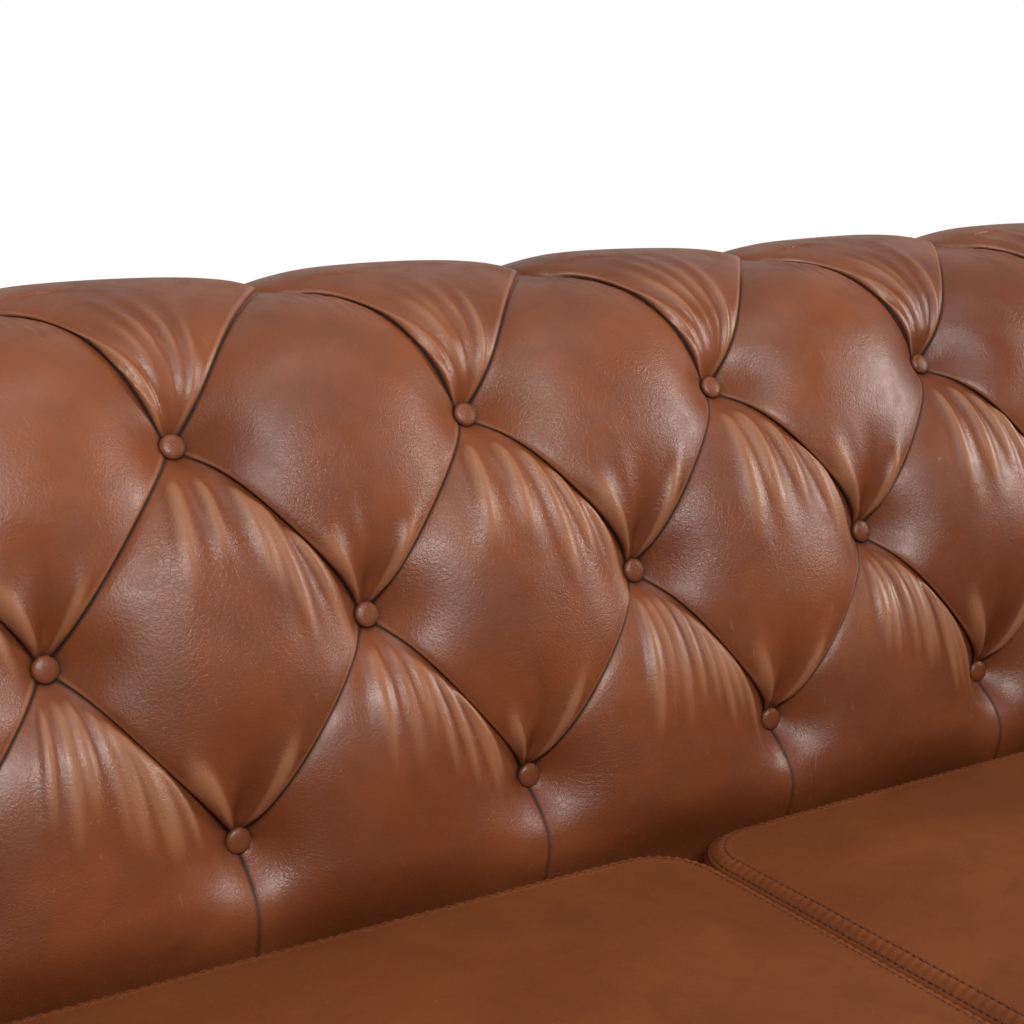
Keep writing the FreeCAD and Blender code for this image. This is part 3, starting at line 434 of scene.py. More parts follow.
    def build(self):
        """The whole cover, with points as (u, n, z) and two values at each point: painted shade, and
        stretch with a painted rim highlight.
        """
        n = SAMPLES
        share = np.arange(n + 1) / n
        share = share - GRID_BIAS * np.sin(2 * math.pi * share) / (2 * math.pi)
        skin = Skin()
        low_column = math.floor(self.start / HALF) - 1
        high_column = math.ceil(self.end / HALF) + 1
        grid_a, grid_b = np.meshgrid(share, share, indexing="ij")
        for row in range(4):
            for column in range(low_column, high_column + 1):
                if (column + row) % 2:
                    continue
                left, right = (column - 1) * HALF, (column + 1) * HALF
                if right <= self.start or left >= self.end:
                    continue
                i = (column + row - 2) // 2
                j = (column - row - 2) // 2
                col = i + j + grid_a + grid_b + 1
                value = i - j + grid_a - grid_b
                u = col * HALF
                v = np.interp(value, [0, 1, 2, 3], ROW_V) + self.bow(value, grid_a, grid_b)
                h, su, sv, full, stretch = self.pad(column, row, u, v, grid_a, grid_b)
                p = placed(u, v, self.soft(u, h), su, sv)
                inside = [(ia, ib) for ia in range(n + 1) for ib in range(n + 1)
                          if not (row == 0 and ia < ib or row == 3 and ia > ib)]
                for ia, ib in inside:
                    skin.vertex((i * n + ia, j * n + ib), p[ia, ib],
                                (full[ia, ib], stretch[ia, ib]))
                for ia, ib in inside:
                    if n in (ia, ib):
                        continue
                    x, y = i * n + ia, j * n + ib
                    k = [(x, y), (x + 1, y), (x + 1, y + 1), (x, y + 1)]
                    if ia == ib and row == 0:
                        k = k[:3]
                    if ia == ib and row == 3:
                        k = [k[0], k[2], k[3]]
                    skin.faces.append([skin.ids[key] for key in k[::-1]])
        self.strip(skin, share, 0)
        self.strip(skin, share, 3)
        return skin

    def strip(self, skin, share, row):
        """The grid below the bottom row of buttons, or over the roll past the folds' ends."""
        n = SAMPLES
        if row == 0:
            fine = np.arange(1, 14) * 3.4
            steps = ROW_V[0] - np.concatenate([fine, np.linspace(51, ROW_V[0] - LOW_V, 16)])
        else:
            steps = np.linspace(ROW_V[3], CURL_END_V, 37)[1:]
        border = [k for k in skin.ids if len(k) == 2 and k[0] - k[1] == row * n]
        for i in sorted({k[0] // n for k in border}):
            j = i - row
            if (i * n + n, j * n + n) not in skin.ids:
                continue
            col = i + j + 1 + 2 * share
            u = np.repeat((col * HALF)[None, :], len(steps), 0)
            v = np.repeat(steps[:, None], n + 1, 1)
            c = np.repeat(share[None, :], len(steps), 0)
            shape = self.lower_height if row == 0 else self.roll_height
            h, full, stretch = shape(i + j + 2, u, v, c)
            p = placed(u, v, self.soft(u, h))
            index = np.zeros((len(steps) + 1, n + 1), int)
            index[0] = [skin.ids[(i * n + k, j * n + k)] for k in range(n + 1)]
            for r in range(len(steps)):
                for k in range(n + 1):
                    index[r + 1, k] = skin.vertex(("strip", row, r, i * n + k), p[r, k],
                                                  (full[r, k], stretch[r, k]))
            for r in range(len(steps)):
                for k in range(n):
                    quad = [index[r, k], index[r, k + 1], index[r + 1, k + 1], index[r + 1, k]]
                    skin.faces.append(quad[::-1] if row == 0 else quad)

    def lower_height(self, column, u, v, c):
        """Below the buttons: shallow seams, and a swell that turns in to the seat."""
        down = ROW_V[0] - v
        kept = SEAM_DEPTH + (1 - SEAM_DEPTH) * np.exp(-np.maximum(down, 0) / SEAM_REACH)
        e = 1 - kept * (1 - self.pad_fullness(0, c, c))
        h, stretch = self.raised(u, v, column, 0, LOWER_CROWN, e, self.gathers(u, v, column, 0))
        _, z, _ = section(v)
        turn_in = 0.08 + 0.92 * smooth(z, *TURN_IN_Z)
        # Painted shade along the seams below the buttons.
        shade = 1 - kept ** 0.25 * (1 - self.painted_fold_shade(0, c, c))
        return h * turn_in, shade, stretch

    def roll_height(self, column, u, v, c):
        """Over the roll: pads between straight pleats, thinning towards the outside panel."""
        past = v - ROW_V[3]
        kept = 1 - 0.35 * smooth(past, 10, 180)
        e = 1 - kept * (1 - self.pad_fullness(3, c, c))
        h, stretch = self.raised(u, v, column, 3, ROLL_CROWN, e, self.gathers(u, v, column, 3))
        # Painted shade in the pleats over the roll.
        shade = self.painted_fold_shade(3, c, c)
        return h * (1 - 0.85 * smooth(past, 90, CURL_END_V - ROW_V[3])), shade, stretch


# Placing runs in the frame


def back_place(points):
    return np.stack([points[:, 0], FOOT_Y + points[:, 1], points[:, 2]], axis=-1)


def right_arm_place(points):
    return np.stack([HALF_SEAT + points[:, 1], FOOT_Y - points[:, 0], points[:, 2]], axis=-1)


def left_arm_place(points):
    return right_arm_place(points) * np.array([-1, 1, 1])


# side, placing, whether faces turn over, and the sign of x
ARMS = [("right", right_arm_place, False, 1), ("left", left_arm_place, True, -1)]


def new_object(name, data):
    obj = bpy.data.objects.new(name, data)
    bpy.context.scene.collection.objects.link(obj)
    return obj


def mesh_object(name, points, faces, flip=False):
    mesh = bpy.data.meshes.new(name)
    if flip:
        faces = [f[::-1] for f in faces]
    mesh.from_pydata([tuple(p) for p in np.asarray(points) * MM], [], faces)
    mesh.polygons.foreach_set("use_smooth", [True] * len(mesh.polygons))
    return new_object(name, mesh)


def add_value(obj, name, values):
    layer = obj.data.attributes.new(name, "FLOAT", "POINT")
    layer.data.foreach_set("value", np.asarray(values, dtype=np.float32))


def dress(obj, material, body, nodes=()):
    """Gives a piece its material and body, and hides the solids it stands for."""
    obj.data.materials.append(material)
    if nodes:
        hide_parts(*nodes)
    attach(obj, body)


def ring_faces(rings, around, base=0):
    """Faces between rings of points that lie one after another."""
    faces = []
    for r in range(rings - 1):
        for k in range(around):
            a, b = base + r * around + k, base + r * around + (k + 1) % around
            faces.append([a, b, b + around, a + around])
    return faces


def cut_plane(obj, point, outwards):
    """Removes what lies beyond a plane."""
    bm = bmesh.new()
    bm.from_mesh(obj.data)
    bmesh.ops.bisect_plane(
        bm, geom=bm.verts[:] + bm.edges[:] + bm.faces[:], dist=1e-6,
        plane_co=Vector(point) * MM, plane_no=Vector(outwards), clear_outer=True)
    bm.to_mesh(obj.data)
    bm.free()


# Materials


class Nodes:
    """A short way to write the node tree of a material or a world."""

    def __init__(self, owner):
        owner.use_nodes = True
        self.tree = owner.node_tree
        self.tree.nodes.clear()

    def link(self, a, b):
        self.tree.links.new(a, b)

    def add(self, kind, **values):
        node = self.tree.nodes.new("ShaderNode" + kind)
        for key, value in values.items():
            if hasattr(node, key):
                setattr(node, key, value)
            else:
                node.inputs[key.replace("_", " ")].default_value = value
        return node

    def coordinates(self, scale=(1, 1, 1)):
        coord = self.add("TexCoord")
        mapping = self.add("Mapping")
        mapping.inputs["Scale"].default_value = scale
        self.link(coord.outputs["Object"], mapping.inputs["Vector"])
        return mapping.outputs[0]

    def noise(self, scale, detail=3.0, rough=0.5, stretch=(1, 1, 1), distortion=0.0):
        node = self.add("TexNoise", Scale=scale, Detail=detail, Roughness=rough,
                        Distortion=distortion)
        self.link(self.coordinates(stretch), node.inputs["Vector"])
        return node.outputs["Fac"]

    def ramp(self, value, low, high, to_low=0.0, to_high=1.0):
        node = self.add("MapRange")
        node.interpolation_type = "SMOOTHSTEP"
        for name, number in (("From Min", low), ("From Max", high),
                             ("To Min", to_low), ("To Max", to_high)):
            node.inputs[name].default_value = number
        self.link(value, node.inputs["Value"])
        return node.outputs["Result"]

    def mix(self, factor, a, b, blend="MIX"):
        node = self.add("Mix")
        node.data_type = "RGBA"
        node.blend_type = blend
        if isinstance(factor, (int, float)):
            node.inputs[0].default_value = factor
        else:
            self.link(factor, node.inputs[0])
        for value, socket in ((a, node.inputs[6]), (b, node.inputs[7])):
            if isinstance(value, tuple):
                socket.default_value = value
            else:
                self.link(value, socket)
        return node.outputs[2]

    def math(self, operation, a, b=0.0, clamp=False):
        node = self.add("Math", operation=operation, use_clamp=clamp)
        for value, socket in ((a, node.inputs[0]), (b, node.inputs[1])):
            if isinstance(value, (int, float)):
                socket.default_value = value
            else:
                self.link(value, socket)
        return node.outputs[0]

    def bump(self, height, distance, strength=1.0, base=None):
        node = self.add("Bump", Strength=strength, Distance=distance)
        self.link(height, node.inputs["Height"])
        if base is not None:
            self.link(base, node.inputs["Normal"])
        return node.outputs[0]

    def mix_shaders(self, factor, a, b, output):
        """Sends a blend of two shaders to an output."""
        node = self.add("MixShader")
        for k, value in enumerate((factor, a.outputs[0], b.outputs[0])):
            self.link(value, node.inputs[k])
        self.link(node.outputs[0], output.inputs[0])


def surface(name):
    """The nodes of a new material, which has one shader at its output."""
    material = bpy.data.materials.new(name)
    m = Nodes(material)
    m.material = material
    m.output = m.add("OutputMaterial")
    m.shader = m.add("BsdfPrincipled")
    m.link(m.shader.outputs[0], m.output.inputs[0])
    return m


def srgb(r, g, b):
    """A colour given as 0 to 255 screen values, as the linear colour the shader takes."""
    def linear(c):
        c = c / 255
        return c / 12.92 if c <= 0.04045 else ((c + 0.055) / 1.055) ** 2.4
    return (linear(r), linear(g), linear(b), 1.0)


def leather(name, pale, mid, deep, crease_shade, gloss, specular):
    """Pull-up leather: mottled, paler where it is stretched, with a painted highlight along the lips'
    rims, and painted shade near black in the folds and round the buttons.
    """
    m = surface(name)
    pale, mid, deep, crease_shade = (srgb(*colour) for colour in (pale, mid, deep, crease_shade))
    broad = m.ramp(m.noise(5.5, 4.0, 0.55, distortion=0.4), 0.34, 0.66)
    patches = m.ramp(m.noise(24.0, 5.0, 0.6, distortion=0.8), 0.38, 0.70)
    colour = m.mix(broad, mid, pale)
    colour = m.mix(m.math("MULTIPLY", patches, 0.28), colour, deep)
    flecks = m.ramp(m.noise(420.0, 2.0, 0.5), 0.3, 0.75, 0.0, 0.12)
    colour = m.mix(flecks, colour, pale)
    # Paler where the gathers stretch the leather, and a painted highlight along the lips' rims.
    stretch = m.add("Attribute", attribute_name="stretch")
    stretch_wear_and_highlight = m.ramp(stretch.outputs["Fac"], 0.6, 3.2, 0.0, 0.42)
    colour = m.mix(stretch_wear_and_highlight, colour, srgb(186, 132, 96))
    scratch = m.noise(9.0, 3.0, 0.6, stretch=(30, 26, 3.2), distortion=1.6)
    scratches = m.ramp(scratch, 0.685, 0.72, 0.0, 0.28)
    colour = m.mix(scratches, colour, srgb(176, 126, 94))
    # Painted shade: folds, creases and button rings are darkened towards the last colour, which also
    # roughens them.
    full = m.add("Attribute", attribute_name="fullness_and_painted_shade")
    rise = m.ramp(full.outputs["Fac"], 0.0, 1.0)
    colour = m.mix(rise, crease_shade, colour)
    m.link(colour, m.shader.inputs["Base Color"])
    rough = m.math("ADD", m.math("MULTIPLY", patches, 0.08), gloss)
    rough = m.math("ADD", rough, m.ramp(m.noise(60.0, 4.0, 0.6), 0.3, 0.7, -0.05, 0.06))
    rough = m.math("ADD", rough, m.ramp(full.outputs["Fac"], 0.0, 1.0, 0.45, 0.0))
    m.link(rough, m.shader.inputs["Roughness"])
    m.shader.inputs["Specular IOR Level"].default_value = specular
    cells = m.add("TexVoronoi", Scale=620.0, feature="SMOOTH_F1")
    m.link(m.coordinates(), cells.inputs["Vector"])
    grain = m.math("ADD", cells.outputs["Distance"], m.noise(900.0, 3.0, 0.6))
    first = m.bump(grain, 0.00022, 0.5)
    creases = m.noise(70.0, 6.0, 0.62, distortion=1.2)
    second = m.bump(creases, 0.0012, 0.18, first)
    cracks = m.add("TexVoronoi", Scale=240.0, feature="DISTANCE_TO_EDGE")
    m.link(m.coordinates((1, 1, 1.6)), cracks.inputs["Vector"])
    worn_areas = m.ramp(m.noise(7.0, 3.0, 0.6), 0.46, 0.62)
    open_cracks = m.math("MULTIPLY", m.ramp(cracks.outputs["Distance"], 0.0, 0.09), worn_areas)
    third = m.bump(open_cracks, 0.0004, 0.22, second)
    m.link(third, m.shader.inputs["Normal"])
    return m.material


def plain(name, colour, other, scale, roughness, metallic=0.0, bump=0.0003, stretch=(1, 1, 1)):
    """A finish with noise in its colour, roughness and relief."""
    m = surface(name)
    fac = m.ramp(m.noise(scale, 6.0, 0.6, stretch, 0.4), 0.3, 0.7)
    m.link(m.mix(fac, srgb(*colour), srgb(*other)), m.shader.inputs["Base Color"])
    m.link(m.ramp(fac, 0, 1, roughness - 0.06, roughness + 0.08), m.shader.inputs["Roughness"])
    m.shader.inputs["Metallic"].default_value = metallic
    m.link(m.bump(m.noise(scale * 6, 4.0, 0.6, stretch), bump, 0.5), m.shader.inputs["Normal"])
    return m.material


# The last colour of each leather is the painted shade of its folds.
LEATHER = leather("pull_up_leather", (136, 74, 40), (114, 57, 28), (88, 40, 17),
                  (44, 15, 4), 0.35, 0.5)
SEAT_LEATHER = leather("seat_leather", (132, 73, 35), (118, 61, 27), (98, 48, 20),
                       (48, 18, 5), 0.56, 0.26)
BUTTON_LEATHER = leather("button_leather", (132, 74, 42), (112, 58, 30),
                         (92, 44, 20), (36, 11, 3), 0.34, 0.5)
THREAD = plain("waxed_thread", (96, 48, 24), (70, 32, 14), 900.0, 0.6)

SLOT_MATERIALS = {
    "leather": LEATHER,
    "button_leather": BUTTON_LEATHER,
    "foam": plain("foam", (232, 222, 186), (214, 198, 150), 300.0, 0.9, bump=0.001),
    "webbing": plain("jute_webbing", (176, 148, 104), (140, 112, 72), 420.0, 0.85, bump=0.001),
    "steel": plain("spring_steel", (150, 150, 155), (104, 104, 110), 140.0, 0.4, 1.0),
    "antique_brass": plain("antique_brass", (150, 112, 62), (92, 64, 34), 160.0, 0.38, 1.0),
    "turned_wood": plain("turned_wood", (66, 38, 24), (40, 22, 13), 30.0, 0.36,
                         stretch=(1, 1, 0.12)),
    "glide_plastic": plain("glide_plastic", (44, 42, 40), (30, 29, 28), 90.0, 0.55),
    "black_cloth": plain("black_cloth", (34, 33, 34), (20, 20, 21), 700.0, 0.9, bump=0.0006),
    "frame_wood": plain("frame_timber", (206, 170, 122), (178, 138, 92), 22.0, 0.7,
                        stretch=(0.15, 1, 1)),
}


def dress_frame():
    """Gives every solid of the frame the finish of its slot."""
    slots = {s["node"]: s["material_slot"] for s in frame["record"]["subparts"]}
    for node, obj in frame["nodes"].items():
        material = SLOT_MATERIALS[slots[node]]
        obj.data.materials.clear()
        obj.data.materials.append(material)


# Tufted covers


def cover(name, run, place, flip, node, cuts):
    skin = run.build()
    obj = mesh_object(name, place(np.array(skin.points)), skin.faces, flip)
    # The first value is painted shade; the second is stretch, with a painted rim highlight.
    for k, value in enumerate(("fullness_and_painted_shade", "stretch")):
        add_value(obj, value, np.array(skin.values)[:, k])
    for point, outwards in cuts:
        cut_plane(obj, point, outwards)
    dress(obj, LEATHER, "root", [node])


def tufted_covers():
    reach = HALF_SEAT + CORNER_REACH
    back_cuts = [((sign * HALF_SEAT, FOOT_Y, 0), (sign, -1, 0)) for sign in (1, -1)]
    cover("inside_back_leather", Run(-reach, reach), back_place, False, "inside_back_cover",
          back_cuts)
    arm = Run(-CORNER_REACH, ARM_RUN, taper_from=ARM_RUN - ARM_TAPER)
    front = ((0, FOOT_Y - ARM_RUN, 0), (0, -1, 0))
    for side, place, flip, sign in ARMS:
        corner = ((sign * HALF_SEAT, FOOT_Y, 0), (-sign, 1, 0))
        cover("inside_arm_leather_" + side, arm, place, flip, "inside_arm_cover_" + side,
              [corner, front])


# Buttons


def button_profile():
    """(radius, height) pairs of a covered button, from its waist to its crown."""
    steps = 12
    rim = [(BUTTON_RADIUS - 1.6, -8.5), (BUTTON_RADIUS - 0.5, -5.8), (BUTTON_RADIUS, -BUTTON_DOME)]
    dome = []
    for k in range(1, steps + 1):
        angle = math.pi / 2 * k / steps
        dome.append((BUTTON_RADIUS * math.cos(angle) ** 0.8, BUTTON_DOME * (math.sin(angle) ** 0.6 - 1)))
    return rim + dome[:-1]


def button_mesh(places, name, node, to_frame, flip):
    """All the buttons of one run: domes with a faint gather round the rim."""
    around = 40
    profile = button_profile()
    points, faces, painted_shade_levels = [], [], []
    for number, (u0, row) in enumerate(places):
        rng = random_for(number, row, 5)
        n0, z0, turn = (float(x) for x in section(ROW_V[row]))
        normal = np.array([0.0, -math.cos(turn), math.sin(turn)])
        side = np.array([1.0, 0.0, 0.0])
        up = np.array([0.0, math.sin(turn), math.cos(turn)])
        tilt = rng.uniform(-0.06, 0.06, 2)
        normal = normal + tilt[0] * side + tilt[1] * up
        normal /= np.linalg.norm(normal)
        centre = np.array([u0, n0, z0]) + normal * BUTTON_FACE
        base = len(points)
        for radius, height in profile:
            for k in range(around):
                angle = 2 * math.pi * k / around
                wave = 1 + 0.012 * math.sin(9 * angle + number) * (radius / BUTTON_RADIUS) ** 3
                r = radius * wave
                points.append(centre + side * r * math.cos(angle) + up * r * math.sin(angle)
                              + normal * height)
                # Painted shade, darker down the button's waist in its pocket.
                painted_shade_levels.append(min(1.0, max(0.0, (height + 5.5) / 3.0)))
        points.append(centre)
        painted_shade_levels.append(1.0)
        faces += ring_faces(len(profile), around, base)
        last = base + (len(profile) - 1) * around
        for k in range(around):
            faces.append([last + k, last + (k + 1) % around, base + len(profile) * around])
    obj = mesh_object(name, to_frame(np.array(points)), faces, flip)
    add_value(obj, "fullness_and_painted_shade", painted_shade_levels)
    dress(obj, BUTTON_LEATHER, "root", [node])


def button_places(low, high):
    places = []
    for row in range(3):
        for column in range(math.ceil(low / HALF), math.floor(high / HALF) + 1):
            if (column + row) % 2:
                places.append((column * HALF, row))
    return places


def buttons():
    margin = HALF / 2
    button_mesh(button_places(margin - HALF_SEAT, HALF_SEAT - margin),
                "back_covered_buttons", "back_buttons", back_place, False)
    arm = button_places(margin, ARM_RUN - margin)
    for side, place, flip, _ in ARMS:
        button_mesh(arm, "arm_covered_buttons_" + side, "arm_buttons_" + side, place, flip)


# Seat cushions

CUSHION_ROUND = 46.0           # corner radius in plan
CUSHION_CROWN = 19.0
CUSHION_EDGE_DROP = 3.0        # how far the top falls right at its edge
BOXING_HEIGHT = 146.0
BOXING_BELLY = 6.0             # outward swell of the sides
PLAN_POINTS = 360
SEAM_POINTS = 1500
SEAM_BAND = 9.0                # between the two rows of stitches
SEAM_OUTER = 1.5               # outer row, in from the edge
PUCKER = 0.9
STITCH_PITCH = 5.5
STITCH_LENGTH = 3.6
STITCH_RADIUS = 0.55
STITCH_LIFT = 0.45             # middle of the thread above the leather


class Cushion:
    """A boxed cushion: crowned top, soft edges and a felled seam round the top."""

    def __init__(self, side):
        low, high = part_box("seat_cushion_cover_" + side)
        self.side = side
        self.x0, self.x1 = low[0] / MM - 0.5, high[0] / MM + 0.5
        self.y0, self.y1 = low[1] / MM - 2.0, high[1] / MM + 12.0
        self.z0 = low[2] / MM
        self.top_z = self.z0 + BOXING_HEIGHT
        self.middle = np.array([(self.x0 + self.x1) / 2, (self.y0 + self.y1) / 2])
        self.phase = random_for(1 if side == "left" else 2, 9).uniform(0, 6, 4)

    def plan(self, count):
        """The rounded outline of the cushion in plan, as so many points."""
        radius = CUSHION_ROUND
        corners = [(self.x1 - radius, self.y1 - radius, 0), (self.x0 + radius, self.y1 - radius, 90),
                   (self.x0 + radius, self.y0 + radius, 180),
                   (self.x1 - radius, self.y0 + radius, 270)]
        outline = []
        for cx, cy, start in corners:
            for k in range(17):
                angle = math.radians(start + 90 * k / 16)
                outline.append((cx + radius * math.cos(angle), cy + radius * math.sin(angle)))
        outline = np.array(outline + outline[:1])
        lengths = np.concatenate([[0], np.cumsum(np.hypot(*np.diff(outline, axis=0).T))])
        at = np.linspace(0, lengths[-1], count, endpoint=False)
        return np.stack([np.interp(at, lengths, outline[:, 0]),
                         np.interp(at, lengths, outline[:, 1])], axis=-1)

    def top(self, xy, from_edge):
        """Height of the crowned top at points that lie so far in from the edge."""
        across = np.abs(xy - self.middle) / [(self.x1 - self.x0) / 2, (self.y1 - self.y0) / 2]
        fx, fy = np.clip(across, 0, 1).T
        rise = (1 - fx ** 3.0) * (1 - fy ** 3.4)
        ripple = 0.9 * np.sin(xy[:, 0] / 57 + self.phase[0]) * np.sin(xy[:, 1] / 46 + self.phase[1])
        edge = np.exp(-(from_edge / 7.0) ** 2)
        return self.top_z + CUSHION_CROWN * rise ** 0.75 + ripple * rise - CUSHION_EDGE_DROP * edge

    def leather(self):
        """The cover as rings, from the middle of its top to the middle of its underside."""
        plan = self.plan(PLAN_POINTS)
        spread = plan - self.middle
        length = np.linalg.norm(spread, axis=1)
        rings, painted_shade_levels = [], []

        def ring(xy, z, full):
            rings.append(np.column_stack([xy, np.broadcast_to(z, len(xy))]))
            painted_shade_levels.append(np.broadcast_to(full, len(xy)))

        for share in 1 - (1 - np.linspace(0.0, 1, 64)[1:-1]) ** 1.35:
            xy = self.middle + spread * share
            from_edge = length * (1 - share)
            # Painted shade, darker towards the top's edge.
            ring(xy, self.top(xy, from_edge), np.clip(0.5 + from_edge / 12.0, 0, 1))
        # The edge rings carry painted shade where the top turns down and the side turns under.
        edge = [(0.5, self.top_z - 4.5, 0.3), (2.2, self.top_z - 6.0, 0.7),
                (3.0, self.top_z - 9.0, 0.9)]
        for share in np.linspace(0.08, 0.92, 14):
            edge.append((2.5 + BOXING_BELLY * math.sin(math.pi * share),
                         self.top_z - 9.0 - (BOXING_HEIGHT - 18) * share, 1.0))
        edge += [(3.0, self.z0 + 9.0, 0.9), (2.0, self.z0 + 6.0, 0.5),
                 (-1.5, self.z0 + 2.5, 0.3), (-9.0, self.z0 + 0.8, 0.9)]
        for outwards, z, full in edge:
            ring(self.middle + spread * (1 + outwards / length)[:, None], z, full)
        for share in (0.8, 0.5, 0.2):
            ring(self.middle + spread * share, self.z0 + 0.4, 1.0)
        points = np.vstack([[[*self.middle, self.top_z + CUSHION_CROWN]], *rings,
                            [[*self.middle, self.z0 + 0.4]]])
        values = np.concatenate([[1.0], *painted_shade_levels, [1.0]])
        n = len(plan)
        last = 1 + (len(rings) - 1) * n
        faces = [face[::-1] for face in ring_faces(len(rings), n, 1)]
        for k in range(n):
            m = (k + 1) % n
            faces.append([0, 1 + k, 1 + m])
            faces.append([last + m, last + k, len(points) - 1])
        obj = mesh_object("seat_cushion_leather_" + self.side, points, faces)
        add_value(obj, "fullness_and_painted_shade", values)
        dress(obj, SEAT_LEATHER, "seat_cushion_" + self.side,
              ["seat_cushion_cover_" + self.side])

    def seam_path(self, count, inset):
        """Points along the top, so far in from its edge, with the inward direction."""
        plan = self.plan(count)
        along = np.roll(plan, -1, axis=0) - np.roll(plan, 1, axis=0)
        along = along / np.linalg.norm(along, axis=1)[:, None]
        inwards = np.column_stack([-along[:, 1], along[:, 0]])
        xy = plan + inwards * inset
        return np.column_stack([xy, self.top(xy, np.full(len(xy), float(inset)))]), along

    def seam_band(self):
        """The felled band of leather along the top edge, puckered between its stitches."""
        k = np.arange(SEAM_POINTS)
        pucker = PUCKER * np.sin(2 * math.pi * k / 4.0)
        profile = [(-1.2, -5.0, 0.0), (-1.0, -1.5, 0.1), (0.0, 0.3, 0.2), (SEAM_OUTER, 0.2, 0.0),
                   (3.6, 1.3, 0.5), (6.0, 1.6, 0.6), (8.4, 1.3, 0.5),
                   (SEAM_OUTER + SEAM_BAND, 0.3, 0.0), (12.5, 0.8, 0.3), (15.5, -0.6, 0.0)]
        rings = []
        for inset, rise, share in profile:
            points, _ = self.seam_path(SEAM_POINTS, inset)
            points[:, 2] += rise + share * pucker
            rings.append(points)
        obj = mesh_object("seat_cushion_seam_" + self.side, np.vstack(rings),
                          ring_faces(len(rings), SEAM_POINTS))
        sewn = [SEAM_OUTER, SEAM_OUTER + SEAM_BAND]
        # Painted shade along the two sewn lines.
        shades = [0.6 if inset in sewn else 1.0 for inset, _, _ in profile]
        add_value(obj, "fullness_and_painted_shade", np.repeat(shades, SEAM_POINTS))
        dress(obj, SEAT_LEATHER, "seat_cushion_" + self.side)

    def stitches(self):
        """Two rows of stitches, as short rounded lengths of thread."""
        perimeter = 2 * (self.x1 - self.x0 + self.y1 - self.y0) - (8 - 2 * math.pi) * CUSHION_ROUND
        count = int(perimeter / STITCH_PITCH)
        around = 6
        profile = [(-0.5, 0.25), (-0.38, 0.8), (0.0, 1.0), (0.38, 0.8), (0.5, 0.25)]
        points, faces = [], []
        for inset in (SEAM_OUTER, SEAM_OUTER + SEAM_BAND):
            path, along = self.seam_path(count, inset)
            for centre, way in zip(path, along):
                base = len(points)
                way = np.array([way[0], way[1], 0.0])
                side = np.array([-way[1], way[0], 0.0])
                for share, width in profile:
                    for m in range(around):
                        angle = 2 * math.pi * m / around
                        radius = STITCH_RADIUS * width
                        points.append(centre + way * share * STITCH_LENGTH
                                      + side * radius * math.cos(angle)
                                      + np.array([0, 0, STITCH_LIFT + radius * math.sin(angle)]))
                faces += ring_faces(len(profile), around, base)
                faces.append([base + m for m in reversed(range(around))])
                end = base + (len(profile) - 1) * around
                faces.append([end + m for m in range(around)])
        obj = mesh_object("seat_cushion_stitches_" + self.side, points, faces, flip=True)
        dress(obj, THREAD, "seat_cushion_" + self.side)


# Facings, outside panels, front border and sheets


def grid_mesh(name, rows):
    """A smooth sheet from rows of points, each row as long as the next."""
    rows = [np.asarray(row, float) for row in rows]
    across = len(rows[0])
    points = np.vstack(rows)
    faces = []
    for r in range(len(rows) - 1):
        for k in range(across - 1):
            a = r * across + k
            faces.append([a, a + 1, a + across + 1, a + across])
    return mesh_object(name, points, faces)


def leather_piece(obj, node):
    add_value(obj, "fullness_and_painted_shade", np.ones(len(obj.data.vertices)))
    dress(obj, LEATHER, "root", [node])


def arc(centre_n, centre_z, radius, turns):
    """(n, z) round a centre, at turns in degrees from facing the front and upwards."""
    turns = np.radians(turns)
    return list(zip(centre_n - radius * np.cos(turns), centre_z + radius * np.sin(turns)))


def scroll_outline(inset):
    """(n, z) round an arm front, set in by so much: up the front, over the roll, down behind."""
    depth = inset - FACING_SPREAD
    rear_n = PANEL_FACE_N - inset
    radius = REAR_RADIUS - depth
    meet = 360 - math.degrees(math.acos((ROLL_N - rear_n) / radius))
    low_z = FACING_BOTTOM + inset
    rows = [(FOOT_N + depth, z) for z in np.linspace(low_z, RAKE_START_Z, 26)[:-1]]
    rows += arc(FOOT_N + RAKE_RADIUS, RAKE_START_Z, RAKE_RADIUS - depth,
                np.linspace(0, RAKE_TURN, 22)[:-1])
    rows += arc(ROLL_N, ROLL_Z, ROLL_RADIUS - depth, np.linspace(RAKE_TURN, 90, 16)[:-1])
    rows += arc(ROLL_N, REAR_Z, radius, np.linspace(90, meet, 44))
    rows += [(rear_n, z) for z in np.linspace(rows[-1][1], low_z, 34)[1:]]
    rows += [(n, low_z) for n in np.linspace(rear_n, FOOT_N + depth, 18)[1:-1]]
    return np.array(rows)


def facing(side, place, flip):
    """The padded scroll at the front of an arm, drawn down along its nails."""
    profile = [(0.0, -26.0), (0.0, -5.0), (0.6, -2.6), (2.0, -0.9), (4.5, 0.0), (8.0, 0.3),
               (NAIL_INSET, -0.2), (14.0, 0.6), (19.0, 2.2), (27.0, 3.3), (36.0, 3.8)]
    rings = []
    for inset, out in profile:
        ring = scroll_outline(inset)
        u = np.full(len(ring), FACING_FACE_U + out)
        rings.append(np.column_stack([u, ring]))
    count = len(rings[0])
    points = np.vstack(rings)
    obj = mesh_object("arm_facing_leather_" + side, place(points), ring_faces(len(rings), count), flip)
    bm = bmesh.new()
    bm.from_mesh(obj.data)
    bm.verts.ensure_lookup_table()
    inner = [bm.verts[(len(rings) - 1) * count + k] for k in range(count)]
    edges = [bm.edges.get((inner[k], inner[(k + 1) % count])) for k in range(count)]
    filled = bmesh.ops.triangle_fill(bm, edges=edges, use_beauty=True)
    for face in filled["geom"]:
        if isinstance(face, bmesh.types.BMFace):
            face.smooth = True
    bmesh.ops.recalc_face_normals(bm, faces=bm.faces[:])
    bm.to_mesh(obj.data)
    bm.free()
    leather_piece(obj, "arm_facing_cover_" + side)


PANEL_CROWN = 2.6
SEAM_GROOVE = 2.2


